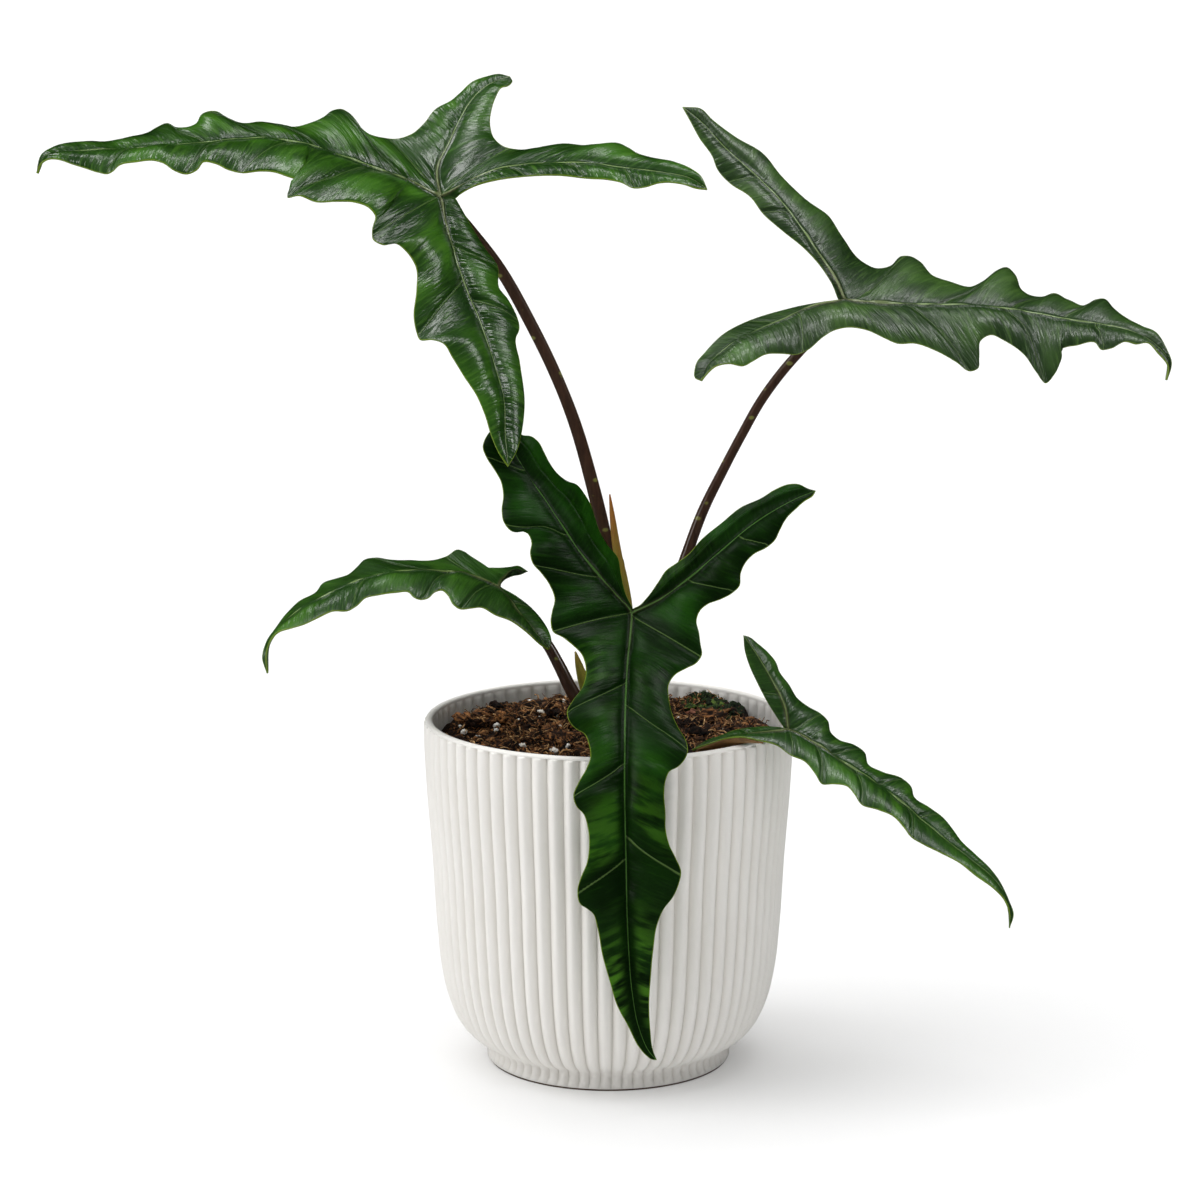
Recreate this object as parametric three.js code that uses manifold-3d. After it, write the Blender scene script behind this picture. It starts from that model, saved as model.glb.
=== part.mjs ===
// Sabrina alocasia in a ribbed pot: five arrow-shaped leaves on slim stalks, a rolled new leaf and a
// sheath rise from a knobby crown in coarse potting mix, in a white fluted cover pot.
// Millimetres, +Z up. The origin is the middle of the pot's flat underside, and the viewer stands
// on the -Y side.

import * as THREE from 'three';
import { mergeVertices } from 'three/addons/utils/BufferGeometryUtils.js';
import Module from 'manifold-3d';

// Driving sizes
const POT_RADIUS = 74.9;
const POT_HEIGHT = 142.5;
const POT_WALL = 4.3;
const POT_FLOOR = 7;
const FOOT_RADIUS = 49;
const RIB_COUNT = 70;
const RIB_DEPTH = 1.1;
const LIP_RADIUS = POT_WALL / 2;
const RIB_TOP = POT_HEIGHT - 4.6;
const RIB_END = 1.2;
const SOIL_LEVEL = 134;
const SOIL_MOUND = 3;
const SOIL_RISE_TO_BACK = 0.03;
const MOSS_HUMP = 4;
const MOSS_AT = [47, 44];
const MOSS_WIDTH = 12;
const CROWN_AT = [5.5, 0];
const CROWN_RADIUS = 6.5;
const CROWN_TOP = 141;
const ROOT_DEPTH = 124;
const GAP = 0.3;

// Leaf blade: half thickness at the junction, along the veins' ends, between veins and at the edge
const HALF_AT_JUNCTION = 1.1;
const HALF_AT_VEIN_TIP = 0.45;
const HALF_BETWEEN = 0.4;
const HALF_AT_EDGE = 0.35;

// The swell between two veins is full where the blade is at least this wide, and it stands square to
// the run of the vein over this reach both ways
const FULL_SWELL_WIDTH = 16;
const SPINE_REACH = 12;

// Coarse potting mix: chips on top and the ring of ground that they lie in
const CHIP_COUNT = 46;
const CHIP_LENGTHS = [3, 9];
const CHIP_WIDTH_SHARES = [0.35, 0.75];
const CHIP_HEIGHTS = [1.6, 3.2];
const CHIP_GROUND = [18, 62];
const CHIP_TILT = 0.45;
const CHIP_STAND = 0.2;

// Each leaf is set out by the points that its shape needs, in millimetres: the junction where the
// stalk meets the blade, the sinus between the two back lobes, the main veins from the junction out to
// their tips, and the edge as one walk round the blade, seen from its upper side, from the sinus to
// the first vein's tip, from tip to tip, and back to the sinus. Crests and bays of the waved edge are
// points of it. The arch is how far each field between two main veins swells up.
// Upper left leaf: back lobe hanging down, front lobe out to the left, and two lobes that reach
// up and to the right behind
const UPPER_LEFT = {
  junction: [-67, 0, 352],
  sinus: [-60.5, 2, 351.5],
  arch: [1.5, 2.5, 1, 1.5, 1.5],
  veins: [
    [
      [-63.5, -6, 338], [-60.5, -10, 328.5], [-56, -15, 316.5], [-51, -19, 305.5], [-47, -24, 294.5],
      [-43.5, -29, 284.5], [-41, -34, 274.5], [-40.5, -39, 264], [-39, -46, 251.5],
    ],
    [
      [-81, 0, 359], [-93, -1, 363.5], [-109.5, -3, 369.5], [-120, -4, 373], [-136, -6, 375],
      [-159, -9, 373.5], [-183.5, -12, 371.5], [-209, -15, 370.5], [-219, -16, 369],
      [-222.5, -16, 362.5],
    ],
    [
      [-68, 10, 363], [-63.5, 18, 372.5], [-60, 26, 380], [-56, 33, 387], [-51, 39, 392.5],
      [-44.5, 44, 396], [-40, 46, 397.5],
    ],
    [
      [-56, 3, 357], [-45, 4, 362], [-34, 4, 364], [-19, 2, 365], [-7.5, 0, 365], [6, -3, 363.5],
      [20.5, -7, 362], [31.5, -10, 360], [38.5, -13, 356],
    ],
  ],
  edges: [
    [
      [-54.5, 0, 341], [-49, -1, 332], [-44, -2, 325], [-43.5, -5, 317], [-39.5, -8, 312],
      [-35.5, -12, 300.5], [-36.5, -14, 298.5], [-35, -20, 289], [-33, -29, 274], [-34, -36, 263.5],
      [-36, -43, 256.5],
    ],
    [
      [-42.5, -45, 256.5], [-45.5, -43, 263], [-48, -41, 271], [-51.5, -40, 279], [-56, -38, 285.5],
      [-60.5, -38, 293], [-64, -38, 298.5], [-68.5, -38, 300], [-73, -38, 300], [-74.5, -36, 303],
      [-75.5, -34, 308], [-74.5, -31, 318.5], [-75, -27, 327.5], [-78.5, -27, 333], [-82, -28, 336],
      [-87.5, -31, 336], [-91, -31, 338], [-91.5, -29, 341.5], [-90.5, -26, 347], [-93, -26, 350],
      [-98, -27, 352], [-105.5, -29, 352.5], [-113, -31, 352.5], [-119.5, -33, 355],
      [-123.5, -35, 354.5], [-123, -32, 357], [-120.5, -27, 360.5], [-124.5, -26, 362],
      [-129, -26, 363.5], [-134.5, -27, 364], [-141.5, -29, 363.5], [-146.5, -28, 364.5],
      [-152.5, -26, 367], [-156.5, -26, 367.5], [-159, -28, 364.5], [-162.5, -29, 363],
      [-168, -28, 364.5], [-172, -26, 367], [-176, -25, 368], [-182.5, -26, 367.5], [-189.5, -26, 366],
      [-191.5, -27, 364], [-193.5, -27, 363], [-197.5, -26, 363.5], [-202.5, -25, 365],
      [-208, -23, 366.5], [-213, -21, 368], [-217.5, -19, 368], [-221, -17, 366],
    ],
    [
      [-221.5, -15, 368.5], [-217.5, -9, 372], [-212, -6, 373.5], [-205.5, -3, 374], [-195, 0, 374],
      [-188.5, 3, 375.5], [-182, 5, 377], [-178.5, 8, 379], [-175, 9, 380.5], [-171, 6, 379],
      [-167, 5, 379], [-163, 8, 380.5], [-161, 12, 384], [-158.5, 14, 385], [-155.5, 13, 385],
      [-151.5, 10, 382.5], [-147.5, 9, 380.5], [-137.5, 11, 381], [-130.5, 11, 380], [-125.5, 11, 379],
      [-119.5, 14, 380], [-113.5, 18, 382.5], [-110, 22, 385], [-107, 23, 385.5], [-103.5, 21, 384],
      [-100.5, 17, 380], [-95.5, 15, 376], [-90, 16, 374.5], [-84.5, 17, 374], [-79, 20, 375.5],
      [-74, 26, 379.5], [-69.5, 33, 385], [-63, 38, 388.5], [-59.5, 41, 391.5], [-55, 44, 395.5],
      [-49.5, 46, 397.5], [-44, 47, 398.5],
    ],
    [
      [-39, 46, 396], [-40.5, 43, 394], [-43, 40, 393.5], [-45.5, 36, 389.5], [-47, 32, 385],
      [-47.5, 27, 378.5], [-46, 24, 374], [-42.5, 22, 371], [-36, 21, 369.5], [-27, 19, 370.5],
      [-18, 18, 372], [-10, 16, 371.5], [-2, 14, 372], [4, 12, 372.5], [7.5, 10, 371], [12, 6, 368.5],
      [18.5, 2, 367], [25.5, -2, 366], [32.5, -7, 363.5], [36.5, -11, 360.5],
    ],
    [
      [34, -14, 356.5], [29.5, -14, 358], [19.5, -13, 358.5], [14.5, -13, 357], [9.5, -12, 356.5],
      [5, -10, 358.5], [0, -9, 359.5], [-8.5, -8, 360], [-19, -6, 361], [-34, -5, 360.5],
      [-44.5, -4, 359], [-53, -2, 356.5], [-57.5, 0, 354],
    ],
  ],
};

// Upper right leaf: back lobe standing up, front lobe out to the right, back lobe to the left
const UPPER_RIGHT = {
  junction: [94, 0, 310.5],
  sinus: [91.5, 3, 311],
  arch: [1.5, 1.5, 2.5, 0],
  veins: [
    [
      [91.5, 4, 316.5], [82.5, 13, 330.5], [71.5, 22, 346], [61, 29, 357], [46, 36, 370.5],
      [36.5, 40, 380.5], [30, 42, 385.5],
    ],
    [
      [115, -1, 309.5], [136.5, -3, 309.5], [155, -5, 308.5], [170, -7, 306.5], [183.5, -9, 304],
      [195.5, -11, 302.5], [206, -13, 300], [214.5, -16, 295.5], [219.5, -18, 289.5], [219, -20, 282],
    ],
    [
      [81.5, -5, 309.5], [70.5, -11, 305.5], [58, -18, 301], [47, -24, 295.5], [40, -29, 290],
      [36, -34, 283.5],
    ],
  ],
  edges: [
    [
      [90, 5, 315], [85, 9, 323.5], [78.5, 13, 330.5], [69, 17, 338], [62, 20, 344], [57, 24, 350.5],
      [48.5, 29, 356], [44, 32, 361], [42, 34, 366], [37, 37, 373], [32.5, 40, 381],
    ],
    [
      [33, 42, 385.5], [37, 42, 385], [42, 41, 380.5], [51.5, 39, 373.5], [62.5, 37, 367],
      [69.5, 35, 358.5], [79.5, 31, 349], [89, 29, 342], [94, 26, 334.5], [101.5, 23, 325],
      [107.5, 22, 322], [114, 23, 323], [118, 25, 326.5], [121.5, 26, 326.5], [125.5, 24, 324.5],
      [130, 20, 319.5], [137, 18, 317], [146.5, 16, 315], [152, 18, 317.5], [156, 21, 321],
      [160, 21, 322.5], [163, 18, 320], [165.5, 14, 314], [169.5, 12, 311.5], [173.5, 11, 311.5],
      [178, 11, 313], [183.5, 8, 310.5], [189.5, 5, 308.5], [194, 5, 311], [197, 4, 311.5],
      [200.5, 0, 308], [204.5, -4, 305], [210.5, -9, 302], [215.5, -13, 300], [219, -16, 294.5],
      [221, -19, 288.5],
    ],
    [
      [219.5, -20, 287.5], [215.5, -19, 292.5], [211.5, -18, 296.5], [207, -19, 296],
      [202.5, -19, 297], [197, -20, 294.5], [193, -20, 294], [191, -18, 296.5], [184, -18, 295.5],
      [177.5, -18, 293.5], [177, -19, 289], [174.5, -21, 284], [171.5, -22, 281], [168, -20, 285],
      [163.5, -17, 291.5], [155.5, -14, 297], [150.5, -13, 299], [146.5, -14, 297], [145.5, -17, 290],
      [145, -19, 286.5], [142, -20, 285.5], [136.5, -19, 289], [128, -17, 293.5], [120.5, -16, 296],
      [113.5, -16, 296], [108.5, -15, 298], [101.5, -13, 301], [94.5, -13, 302], [89, -14, 301],
      [84, -17, 298.5], [78, -21, 294], [74, -23, 292.5], [67.5, -25, 293], [61.5, -27, 293],
      [56, -30, 290.5], [52.5, -32, 289], [46.5, -33, 290], [41.5, -34, 289], [37.5, -35, 285.5],
    ],
    [
      [33.5, -33, 284.5], [33.5, -31, 288], [38, -23, 293.5], [45, -16, 299.5], [54, -9, 303.5],
      [68.5, -3, 307.5], [82, 1, 310],
    ],
  ],
};

// Front leaf: it hangs before the pot with its front lobe down and both back lobes up
const FRONT = {
  junction: [9, -42, 192.5],
  sinus: [9.5, -41, 194.5],
  arch: [1.5, 2, 2, 5],
  veins: [
    [
      [14.5, -43, 195.5], [21, -45, 199.5], [31, -47, 207.5], [42, -48, 217], [53.5, -47, 227],
      [65, -45, 234.5], [74.5, -42, 239], [80.5, -40, 241],
    ],
    [
      [8.5, -47, 186.5], [7.5, -53, 179], [6.5, -66, 165], [6, -79, 149.5], [6, -86, 133],
      [6.5, -89, 107], [7.5, -89, 72], [9, -88, 53], [11.5, -87, 39], [16, -86, 28], [18.5, -85, 25],
    ],
    [
      [3, -42, 199.5], [-4, -43, 208], [-14.5, -42, 221.5], [-24.5, -39, 236.5], [-32, -36, 247],
      [-37.5, -34, 256.5], [-41, -32, 264.5],
    ],
  ],
  edges: [
    [
      [12, -42, 196], [15.5, -43, 200], [19.5, -44, 206], [22.5, -44, 210.5], [26, -44, 213],
      [31, -43, 216.5], [36.5, -42, 222.5], [44, -41, 228.5], [51.5, -40, 234.5], [59.5, -39, 238],
      [65, -39, 241.5], [70, -39, 243.5], [74, -39, 243.5], [77, -39, 242],
    ],
    [
      [79.5, -41, 239.5], [76, -43, 237.5], [73, -44, 235], [69, -46, 231.5], [66, -48, 226.5],
      [64.5, -49, 223.5], [61, -50, 220.5], [56, -51, 218], [52.5, -51, 214], [51, -52, 210.5],
      [50.5, -54, 206], [48, -54, 203.5], [44, -53, 201], [38, -53, 198.5], [35.5, -54, 196.5],
      [34, -55, 192.5], [35, -57, 188], [35.5, -59, 184], [36, -61, 180.5], [34, -62, 177.5],
      [30, -63, 175.5], [25.5, -64, 173], [23, -67, 169.5], [23, -70, 165.5], [24, -74, 160.5],
      [26.5, -79, 155.5], [29.5, -83, 151], [30, -86, 147.5], [28.5, -87, 144.5], [26, -87, 142],
      [23, -88, 140.5], [21.5, -89, 137], [21, -90, 132.5], [21.5, -91, 124.5], [21.5, -92, 119.5],
      [23, -93, 113], [25.5, -94, 108], [27.5, -95, 103], [26.5, -95, 98], [24.5, -94, 93],
      [21, -93, 88], [18.5, -92, 81.5], [17, -91, 71], [16, -90, 58.5], [15.5, -89, 49.5],
      [16, -87, 37.5], [17, -85, 29],
    ],
    [
      [17, -85, 25], [14.5, -86, 27], [11.5, -87, 31], [7.5, -88, 39.5], [3, -90, 49], [0.5, -91, 58],
      [-2.5, -92, 69.5], [-4.5, -93, 81], [-6, -93, 86], [-8.5, -94, 88.5], [-11, -95, 90.5],
      [-12, -95, 95.5], [-10.5, -94, 101], [-8.5, -93, 105.5], [-7.5, -92, 112.5], [-8, -92, 119.5],
      [-10, -92, 125.5], [-12, -92, 127.5], [-13.5, -92, 131.5], [-11.5, -89, 136.5],
      [-8.5, -87, 141.5], [-7, -85, 145.5], [-7.5, -83, 149.5], [-9.5, -80, 153.5], [-13, -79, 155.5],
      [-15.5, -78, 158.5], [-16, -76, 161], [-14, -73, 164.5], [-10.5, -69, 168.5], [-9, -66, 172.5],
      [-9, -63, 176.5], [-10.5, -61, 180.5], [-14, -60, 184], [-18, -59, 187], [-21.5, -59, 189],
      [-22.5, -58, 192.5], [-22, -55, 196], [-21, -52, 200.5], [-23, -51, 206], [-26.5, -51, 211],
      [-29.5, -51, 214.5], [-30.5, -50, 218], [-30, -47, 222], [-31.5, -47, 225.5], [-34, -47, 226.5],
      [-37.5, -48, 226.5], [-40.5, -47, 229.5], [-41.5, -44, 233.5], [-41, -41, 240], [-42, -40, 245],
      [-44.5, -40, 249.5], [-47.5, -39, 254], [-49, -37, 258], [-48, -35, 261], [-46, -33, 263.5],
    ],
    [
      [-37, -31, 264], [-33.5, -30, 261.5], [-30.5, -29, 261], [-27.5, -28, 258.5],
      [-25.5, -27, 254.5], [-23.5, -27, 250.5], [-20, -26, 245.5], [-16, -26, 242.5],
      [-12.5, -25, 241], [-10, -25, 238], [-7.5, -26, 234], [-5.5, -28, 228.5], [-4, -29, 224],
      [-1, -31, 218.5], [3.5, -34, 213.5], [4.5, -36, 208], [7, -40, 199],
    ],
  ],
};

// Lower left leaf: a low arch, its front lobe drooping to the left
const LOWER_LEFT = {
  junction: [-45, -5, 196],
  sinus: [-43.5, -3, 196],
  arch: [1, 1.5, -0.5, 0],
  veins: [
    [
      [-39, -8, 190], [-32, -12, 182], [-24, -15, 173],
    ],
    [
      [-55.5, -6, 201], [-67.5, -7, 203], [-78.5, -8, 203.5], [-89.5, -9, 202.5], [-101.5, -10, 199],
      [-112.5, -12, 194.5], [-121.5, -13, 189.5], [-129.5, -14, 183.5], [-135.5, -15, 176],
      [-136.5, -16, 163.5],
    ],
    [
      [-43, 8, 197], [-39, 22, 198.5], [-33.5, 36, 195.5],
    ],
  ],
  edges: [
    [
      [-37.5, 0, 192], [-31, -1, 187], [-26.5, -5, 182.5], [-24, -9, 179], [-23, -13, 175.5],
    ],
    [
      [-27, -18, 175.5], [-32.5, -20, 181], [-39, -21, 186], [-45, -22, 188.5], [-50.5, -22, 191.5],
      [-55, -24, 191.5], [-59, -25, 191.5], [-61.5, -24, 193], [-64, -21, 196.5], [-66, -20, 198],
      [-69, -21, 197.5], [-71.5, -23, 195.5], [-74.5, -24, 195], [-77.5, -23, 196], [-79, -22, 197.5],
      [-84.5, -22, 197.5], [-91.5, -22, 196.5], [-96.5, -23, 195.5], [-99.5, -25, 193],
      [-103, -26, 191], [-109.5, -25, 190.5], [-115, -25, 188], [-121, -24, 185], [-126.5, -22, 183],
      [-131.5, -20, 181], [-135.5, -17.5, 176], [-137, -16.5, 170.5],
    ],
    [
      [-138.5, -15, 169.5], [-137, -13, 175.5], [-133.5, -9, 180.5], [-129.5, -5, 185.5],
      [-124.5, -1, 190], [-118, 3, 193], [-115.5, 6, 196], [-111, 7, 197.5], [-105.5, 9, 199],
      [-102, 13, 201.5], [-99, 16, 204], [-95, 17, 204.5], [-90, 16, 204], [-80, 16, 203.5],
      [-70.5, 18, 203.5], [-66, 21, 204.5], [-61.5, 25, 206.5], [-58.5, 24, 205.5], [-56.5, 21, 202],
      [-52, 21, 200], [-46.5, 24, 199], [-41, 29, 198.5], [-36.5, 34, 198],
    ],
    [
      [-36, 32, 195], [-39, 26, 195.5], [-42, 15, 196], [-43.5, 4, 196],
    ],
  ],
};

// Lower right leaf: it lies over the rim, with its front lobe drooping to the right
const LOWER_RIGHT = {
  junction: [70.5, -46, 146.5],
  sinus: [69, -45, 147.5],
  arch: [1.5, 1.5, 2, 0.5],
  veins: [
    [
      [69, -44, 156], [65, -42, 164.5], [60, -40, 173], [56, -38, 179], [53, -36, 183],
    ],
    [
      [81, -48, 141.5], [90.5, -50, 135.5], [101, -52, 129], [111.5, -54, 122], [120.5, -56, 114.5],
      [131, -58, 106], [140.5, -60, 98.5], [150.5, -62, 90.5], [155.5, -63, 83], [157, -63, 71.5],
    ],
    [
      [64.5, -49, 146.5], [58, -51, 146.5], [52, -51, 146], [46.5, -50, 144.5], [40.5, -48, 142.5],
      [33, -46, 139],
    ],
  ],
  edges: [
    [
      [66, -43, 152], [62.5, -42, 157.5], [58.5, -40, 165], [55.5, -38, 171.5], [53.5, -37, 178],
    ],
    [
      [55, -36, 182.5], [58.5, -35, 179.5], [63, -35, 175.5], [66, -35, 171.5], [67, -35, 168.5],
      [71, -36, 163], [74, -36, 158], [79, -36, 154], [83.5, -36, 151.5], [86.5, -36, 148.5],
      [87.5, -39, 144.5], [91, -40, 141.5], [97, -40, 139.5], [101, -40, 136.5], [102, -43, 132.5],
      [108, -44, 129.5], [115.5, -44, 127], [119, -45, 124], [120, -48, 120.5], [126, -49, 116.5],
      [131.5, -50, 112.5], [135, -52, 108.5], [138, -54, 104.5], [143.5, -56, 99.5], [149.5, -58, 94],
      [154, -61, 88], [156.5, -62, 82.5], [158.5, -63, 77],
    ],
    [
      [157, -64, 77], [154.5, -65, 83.5], [150.5, -66, 88], [143, -66, 93.5], [136.5, -67, 99],
      [129, -67, 103], [122, -67, 106.5], [117, -68, 110], [115, -66, 112.5], [110.5, -64, 117],
      [104.5, -64, 119.5], [98, -65, 122], [95.5, -63, 125.5], [93, -61, 128], [87.5, -61, 129],
      [83, -61, 129], [80.5, -59, 132.5], [76.5, -57, 137], [71, -57, 139.5], [65.5, -55, 143],
      [58, -55, 145], [52, -54, 146], [45.5, -52, 145], [39, -49, 142],
    ],
    [
      [38.5, -45, 142.5], [44, -45, 144.5], [49, -45, 146.5], [56.5, -46, 148], [62, -46.5, 148.5],
    ],
  ],
};

// Stalks from the mix up to the blade: points along the middle, radius at the foot and at the top
const STALKS = {
  upper_left: {
    radii: [3.6, 2.4],
    path: [
      [8, 8, ROOT_DEPTH], [7, 8, 142], [4.5, 7.5, 170], [2, 6.5, 194], [-1, 6, 212.5],
      [-7, 7, 238.5], [-14, 8, 262.5], [-22, 9, 282.5], [-30.5, 9.5, 300], [-45, 9, 325.5],
      [-55, 7, 338.5], [-61.5, 4, 346.5], [-67, 0.5, 352],
    ],
  },
  upper_right: {
    radii: [3.1, 1.9],
    path: [
      [15, 4, ROOT_DEPTH], [17, 4, 145], [21.5, 4, 171], [26, 4, 191], [31.5, 4, 208], [38, 4, 226],
      [46.2, 4, 243], [53.7, 4, 257.5], [61.2, 4, 271], [69.8, 3.5, 283], [78, 3, 292.5],
      [86.7, 2, 302], [94, 0.5, 310],
    ],
  },
  front: {
    radii: [3.2, 2.3],
    path: [
      [8, -9, ROOT_DEPTH], [8.5, -11.5, 142], [9, -17, 160], [9.5, -24, 175], [9.5, -33, 187],
      [9.5, -41.5, 193.5],
    ],
  },
  lower_left: {
    radii: [3.4, 2.2],
    path: [
      [-4.5, -1, ROOT_DEPTH], [-5.5, -1.5, 135], [-8.5, -2, 143], [-14.5, -3, 153], [-19.5, -2, 163],
      [-24, 0, 171], [-31.5, 2, 180.5], [-38, 1, 188.5], [-45, -4, 195],
    ],
  },
  lower_right: {
    radii: [2.4, 1.9],
    path: [
      [14, -7.5, ROOT_DEPTH], [24, -14, 129], [35, -21.5, 134], [46, -30, 139], [59.5, -41, 144.9],
      [66, -44.5, 146.2], [70.5, -46, 146.5],
    ],
  },
};

// The new leaf, still rolled, and the sheath that once wrapped a stalk: middle points, each with its
// radius
const SPEAR = [
  [11, -3, ROOT_DEPTH, 1.8], [10.5, -3, 145, 2.2], [9, -3, 170, 2.2], [7.5, -3, 189, 2.1],
  [5, -3, 203, 2], [3, -3, 214, 1.8], [1.5, -3, 225.5, 1.2], [0.5, -3, 234, 0.35],
];
const SHEATH = [
  [0, 6, ROOT_DEPTH, 2.6], [-1.5, 5.5, 135, 2.8], [-5.5, 4.5, 147, 2.6], [-8.5, 4, 156, 2],
  [-11, 3.5, 163, 1.2], [-13, 3, 168.5, 0.35],
];

// Pot profile outside, from the foot up: radius over the ribs and height
const POT_OUTSIDE = [
  [FOOT_RADIUS, 0], [50.8, 3.2], [54.4, 6.6], [58.6, 11], [62.8, 18], [66, 27], [68.6, 39],
  [70.1, 56], [72, 87], [POT_RADIUS, 126],
];

// Pot profile inside, below the flutes and down to the floor
const POT_INSIDE = [
  [66.5, 60], [63, 33], [55, 15], [44, POT_FLOOR],
];
const FLUTE_DEPTH = 17.5;
const POT_INSIDE_RADIUS = POT_RADIUS - POT_WALL;
const SOIL_PLAY = 0.7;
const SOIL_SIDES = 48;
const SOIL_RINGS = [62, 52, 42, 32, 22, 12];

// Soft lumps of the mix: height, turns along x and y, and where they start
const SOIL_LUMPS = [
  [0.9, 0.31, -0.27, 1.3], [0.7, 0.53, -0.41, 0], [0.5, 0.2, 0.77, 1.6],
];

// Crown from its buried base up, with two leaf scars as steps: how far inside its radius, and height
const CROWN_SIDES = 14;
const CROWN_STEPS = [
  [1.5, ROOT_DEPTH - 2], [0, 131], [0.7, 134], [0.2, 136], [1.6, CROWN_TOP - 2],
];

const TUBE_SIDES = 8;
const STALK_STEPS = 16;
const SPEAR_STEPS = 12;

// A stalk reaches its top radius at this share of its length
const STALK_TAPER_END = 0.625;

const wasm = await Module();
wasm.setup();

// A small seeded draw, the same on every run
function seededDraw(seed) {
  let state = seed;
  return () => {
    state = (state * 1664525 + 1013904223) % 4294967296;
    return state / 4294967296;
  };
}

const between = ([low, high], share) => low + (high - low) * share;

function geometryFrom(points, triangles) {
  const geometry = new THREE.BufferGeometry();
  geometry.setAttribute('position', new THREE.Float32BufferAttribute(points.flat(), 3));
  geometry.setIndex(triangles.flat());
  return geometry;
}

function solidFrom(geometry) {
  const bare = geometry.clone();
  bare.deleteAttribute('normal');
  bare.deleteAttribute('uv');
  const merged = mergeVertices(bare, 1e-4);
  return new wasm.Manifold(new wasm.Mesh({
    numProp: 3,
    vertProperties: new Float32Array(merged.attributes.position.array),
    triVerts: new Uint32Array(merged.index.array),
  }));
}

function geometryOf(solid) {
  const mesh = solid.getMesh();
  const geometry = new THREE.BufferGeometry();
  geometry.setAttribute('position', new THREE.Float32BufferAttribute(mesh.vertProperties, 3));
  geometry.setIndex(new THREE.Uint32BufferAttribute(mesh.triVerts, 1));
  return geometry;
}

// The largest body of a cut solid: loose scraps are dropped
function mainBody(solid) {
  return solid.decompose().reduce((a, b) => (a.volume() > b.volume() ? a : b));
}

// Rings of points one above another, joined into a closed skin. Neighbouring rings may differ in
// their number of points, and both ends are closed by a fan to their middle.
function skinRings(rings, startMiddle, endMiddle) {
  const points = rings.flat();
  const triangles = [];
  const starts = [];
  let total = 0;
  for (const ring of rings) {
    starts.push(total);
    total += ring.length;
  }
  for (let k = 0; k + 1 < rings.length; k += 1) {
    const low = rings[k].length;
    const high = rings[k + 1].length;
    let i = 0;
    let j = 0;
    while (i < low || j < high) {
      const a = starts[k] + (i % low);
      const b = starts[k + 1] + (j % high);
      if (j >= high || (i < low && (i + 0.5) / low <= (j + 0.5) / high)) {
        triangles.push([a, starts[k] + ((i + 1) % low), b]);
        i += 1;
      } else {
        triangles.push([a, starts[k + 1] + ((j + 1) % high), b]);
        j += 1;
      }
    }
  }
  const last = rings.length - 1;
  points.push(startMiddle, endMiddle);
  for (let i = 0; i < rings[0].length; i += 1) {
    triangles.push([starts[0] + ((i + 1) % rings[0].length), starts[0] + i, total]);
  }
  for (let i = 0; i < rings[last].length; i += 1) {
    triangles.push([starts[last] + i, starts[last] + ((i + 1) % rings[last].length), total + 1]);
  }
  return geometryFrom(points, triangles);
}

// A ring round the Z axis. With a rib depth its points alternate between rib crests and grooves.
function roundRing(radius, z, count, ribDepth = 0) {
  const ring = [];
  for (let i = 0; i < count; i += 1) {
    const angle = (2 * Math.PI * i) / count;
    const r = i % 2 === 0 ? radius : radius - ribDepth;
    ring.push([r * Math.cos(angle), r * Math.sin(angle), z]);
  }
  return ring;
}

// Fluted cover pot: ribs outside from the foot to just under the lip, a round smooth lip, and
// flutes inside down to below the mix
function makePot() {
  const ribbed = 2 * RIB_COUNT;
  const rings = POT_OUTSIDE.map(([radius, z]) => roundRing(radius, z, ribbed, RIB_DEPTH));
  rings.push(roundRing(POT_RADIUS, RIB_TOP - RIB_END, ribbed, RIB_DEPTH));
  rings.push(roundRing(POT_RADIUS, RIB_TOP, RIB_COUNT));
  const lipMiddle = POT_RADIUS - LIP_RADIUS;
  const lipSteps = 4;
  for (let k = 0; k <= lipSteps; k += 1) {
    const angle = (Math.PI * k) / lipSteps;
    const z = POT_HEIGHT - LIP_RADIUS + LIP_RADIUS * Math.sin(angle);
    rings.push(roundRing(lipMiddle + LIP_RADIUS * Math.cos(angle), z, RIB_COUNT));
  }
  const fluteEnd = POT_HEIGHT - FLUTE_DEPTH;
  rings.push(roundRing(POT_INSIDE_RADIUS, RIB_TOP, RIB_COUNT));
  rings.push(roundRing(POT_INSIDE_RADIUS + RIB_DEPTH, RIB_TOP - RIB_END, ribbed, RIB_DEPTH));
  rings.push(roundRing(POT_INSIDE_RADIUS + RIB_DEPTH, fluteEnd, ribbed, RIB_DEPTH));
  rings.push(roundRing(POT_INSIDE_RADIUS, fluteEnd - 2 * RIB_END, RIB_COUNT / 2));
  for (const [radius, z] of POT_INSIDE) {
    rings.push(roundRing(radius, z, RIB_COUNT / 2));
  }
  return skinRings(rings, [0, 0, 0], [0, 0, POT_FLOOR]);
}

// Height of the mix at a place: a low mound, higher at the back, with soft lumps and a mossy hump
function soilHeight(x, y) {
  const outwards = Math.min(1, Math.hypot(x, y) / POT_INSIDE_RADIUS);
  let height = SOIL_LEVEL + SOIL_MOUND * Math.cos((Math.PI / 2) * outwards) + y * SOIL_RISE_TO_BACK;
  const fromMoss = Math.hypot(x - MOSS_AT[0], y - MOSS_AT[1]) / MOSS_WIDTH;
  height += MOSS_HUMP * Math.exp(-(fromMoss ** 2) / 2);
  for (const [lump, alongX, alongY, start] of SOIL_LUMPS) {
    height += lump * Math.sin(x * alongX + y * alongY + start);
  }
  return height;
}

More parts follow.
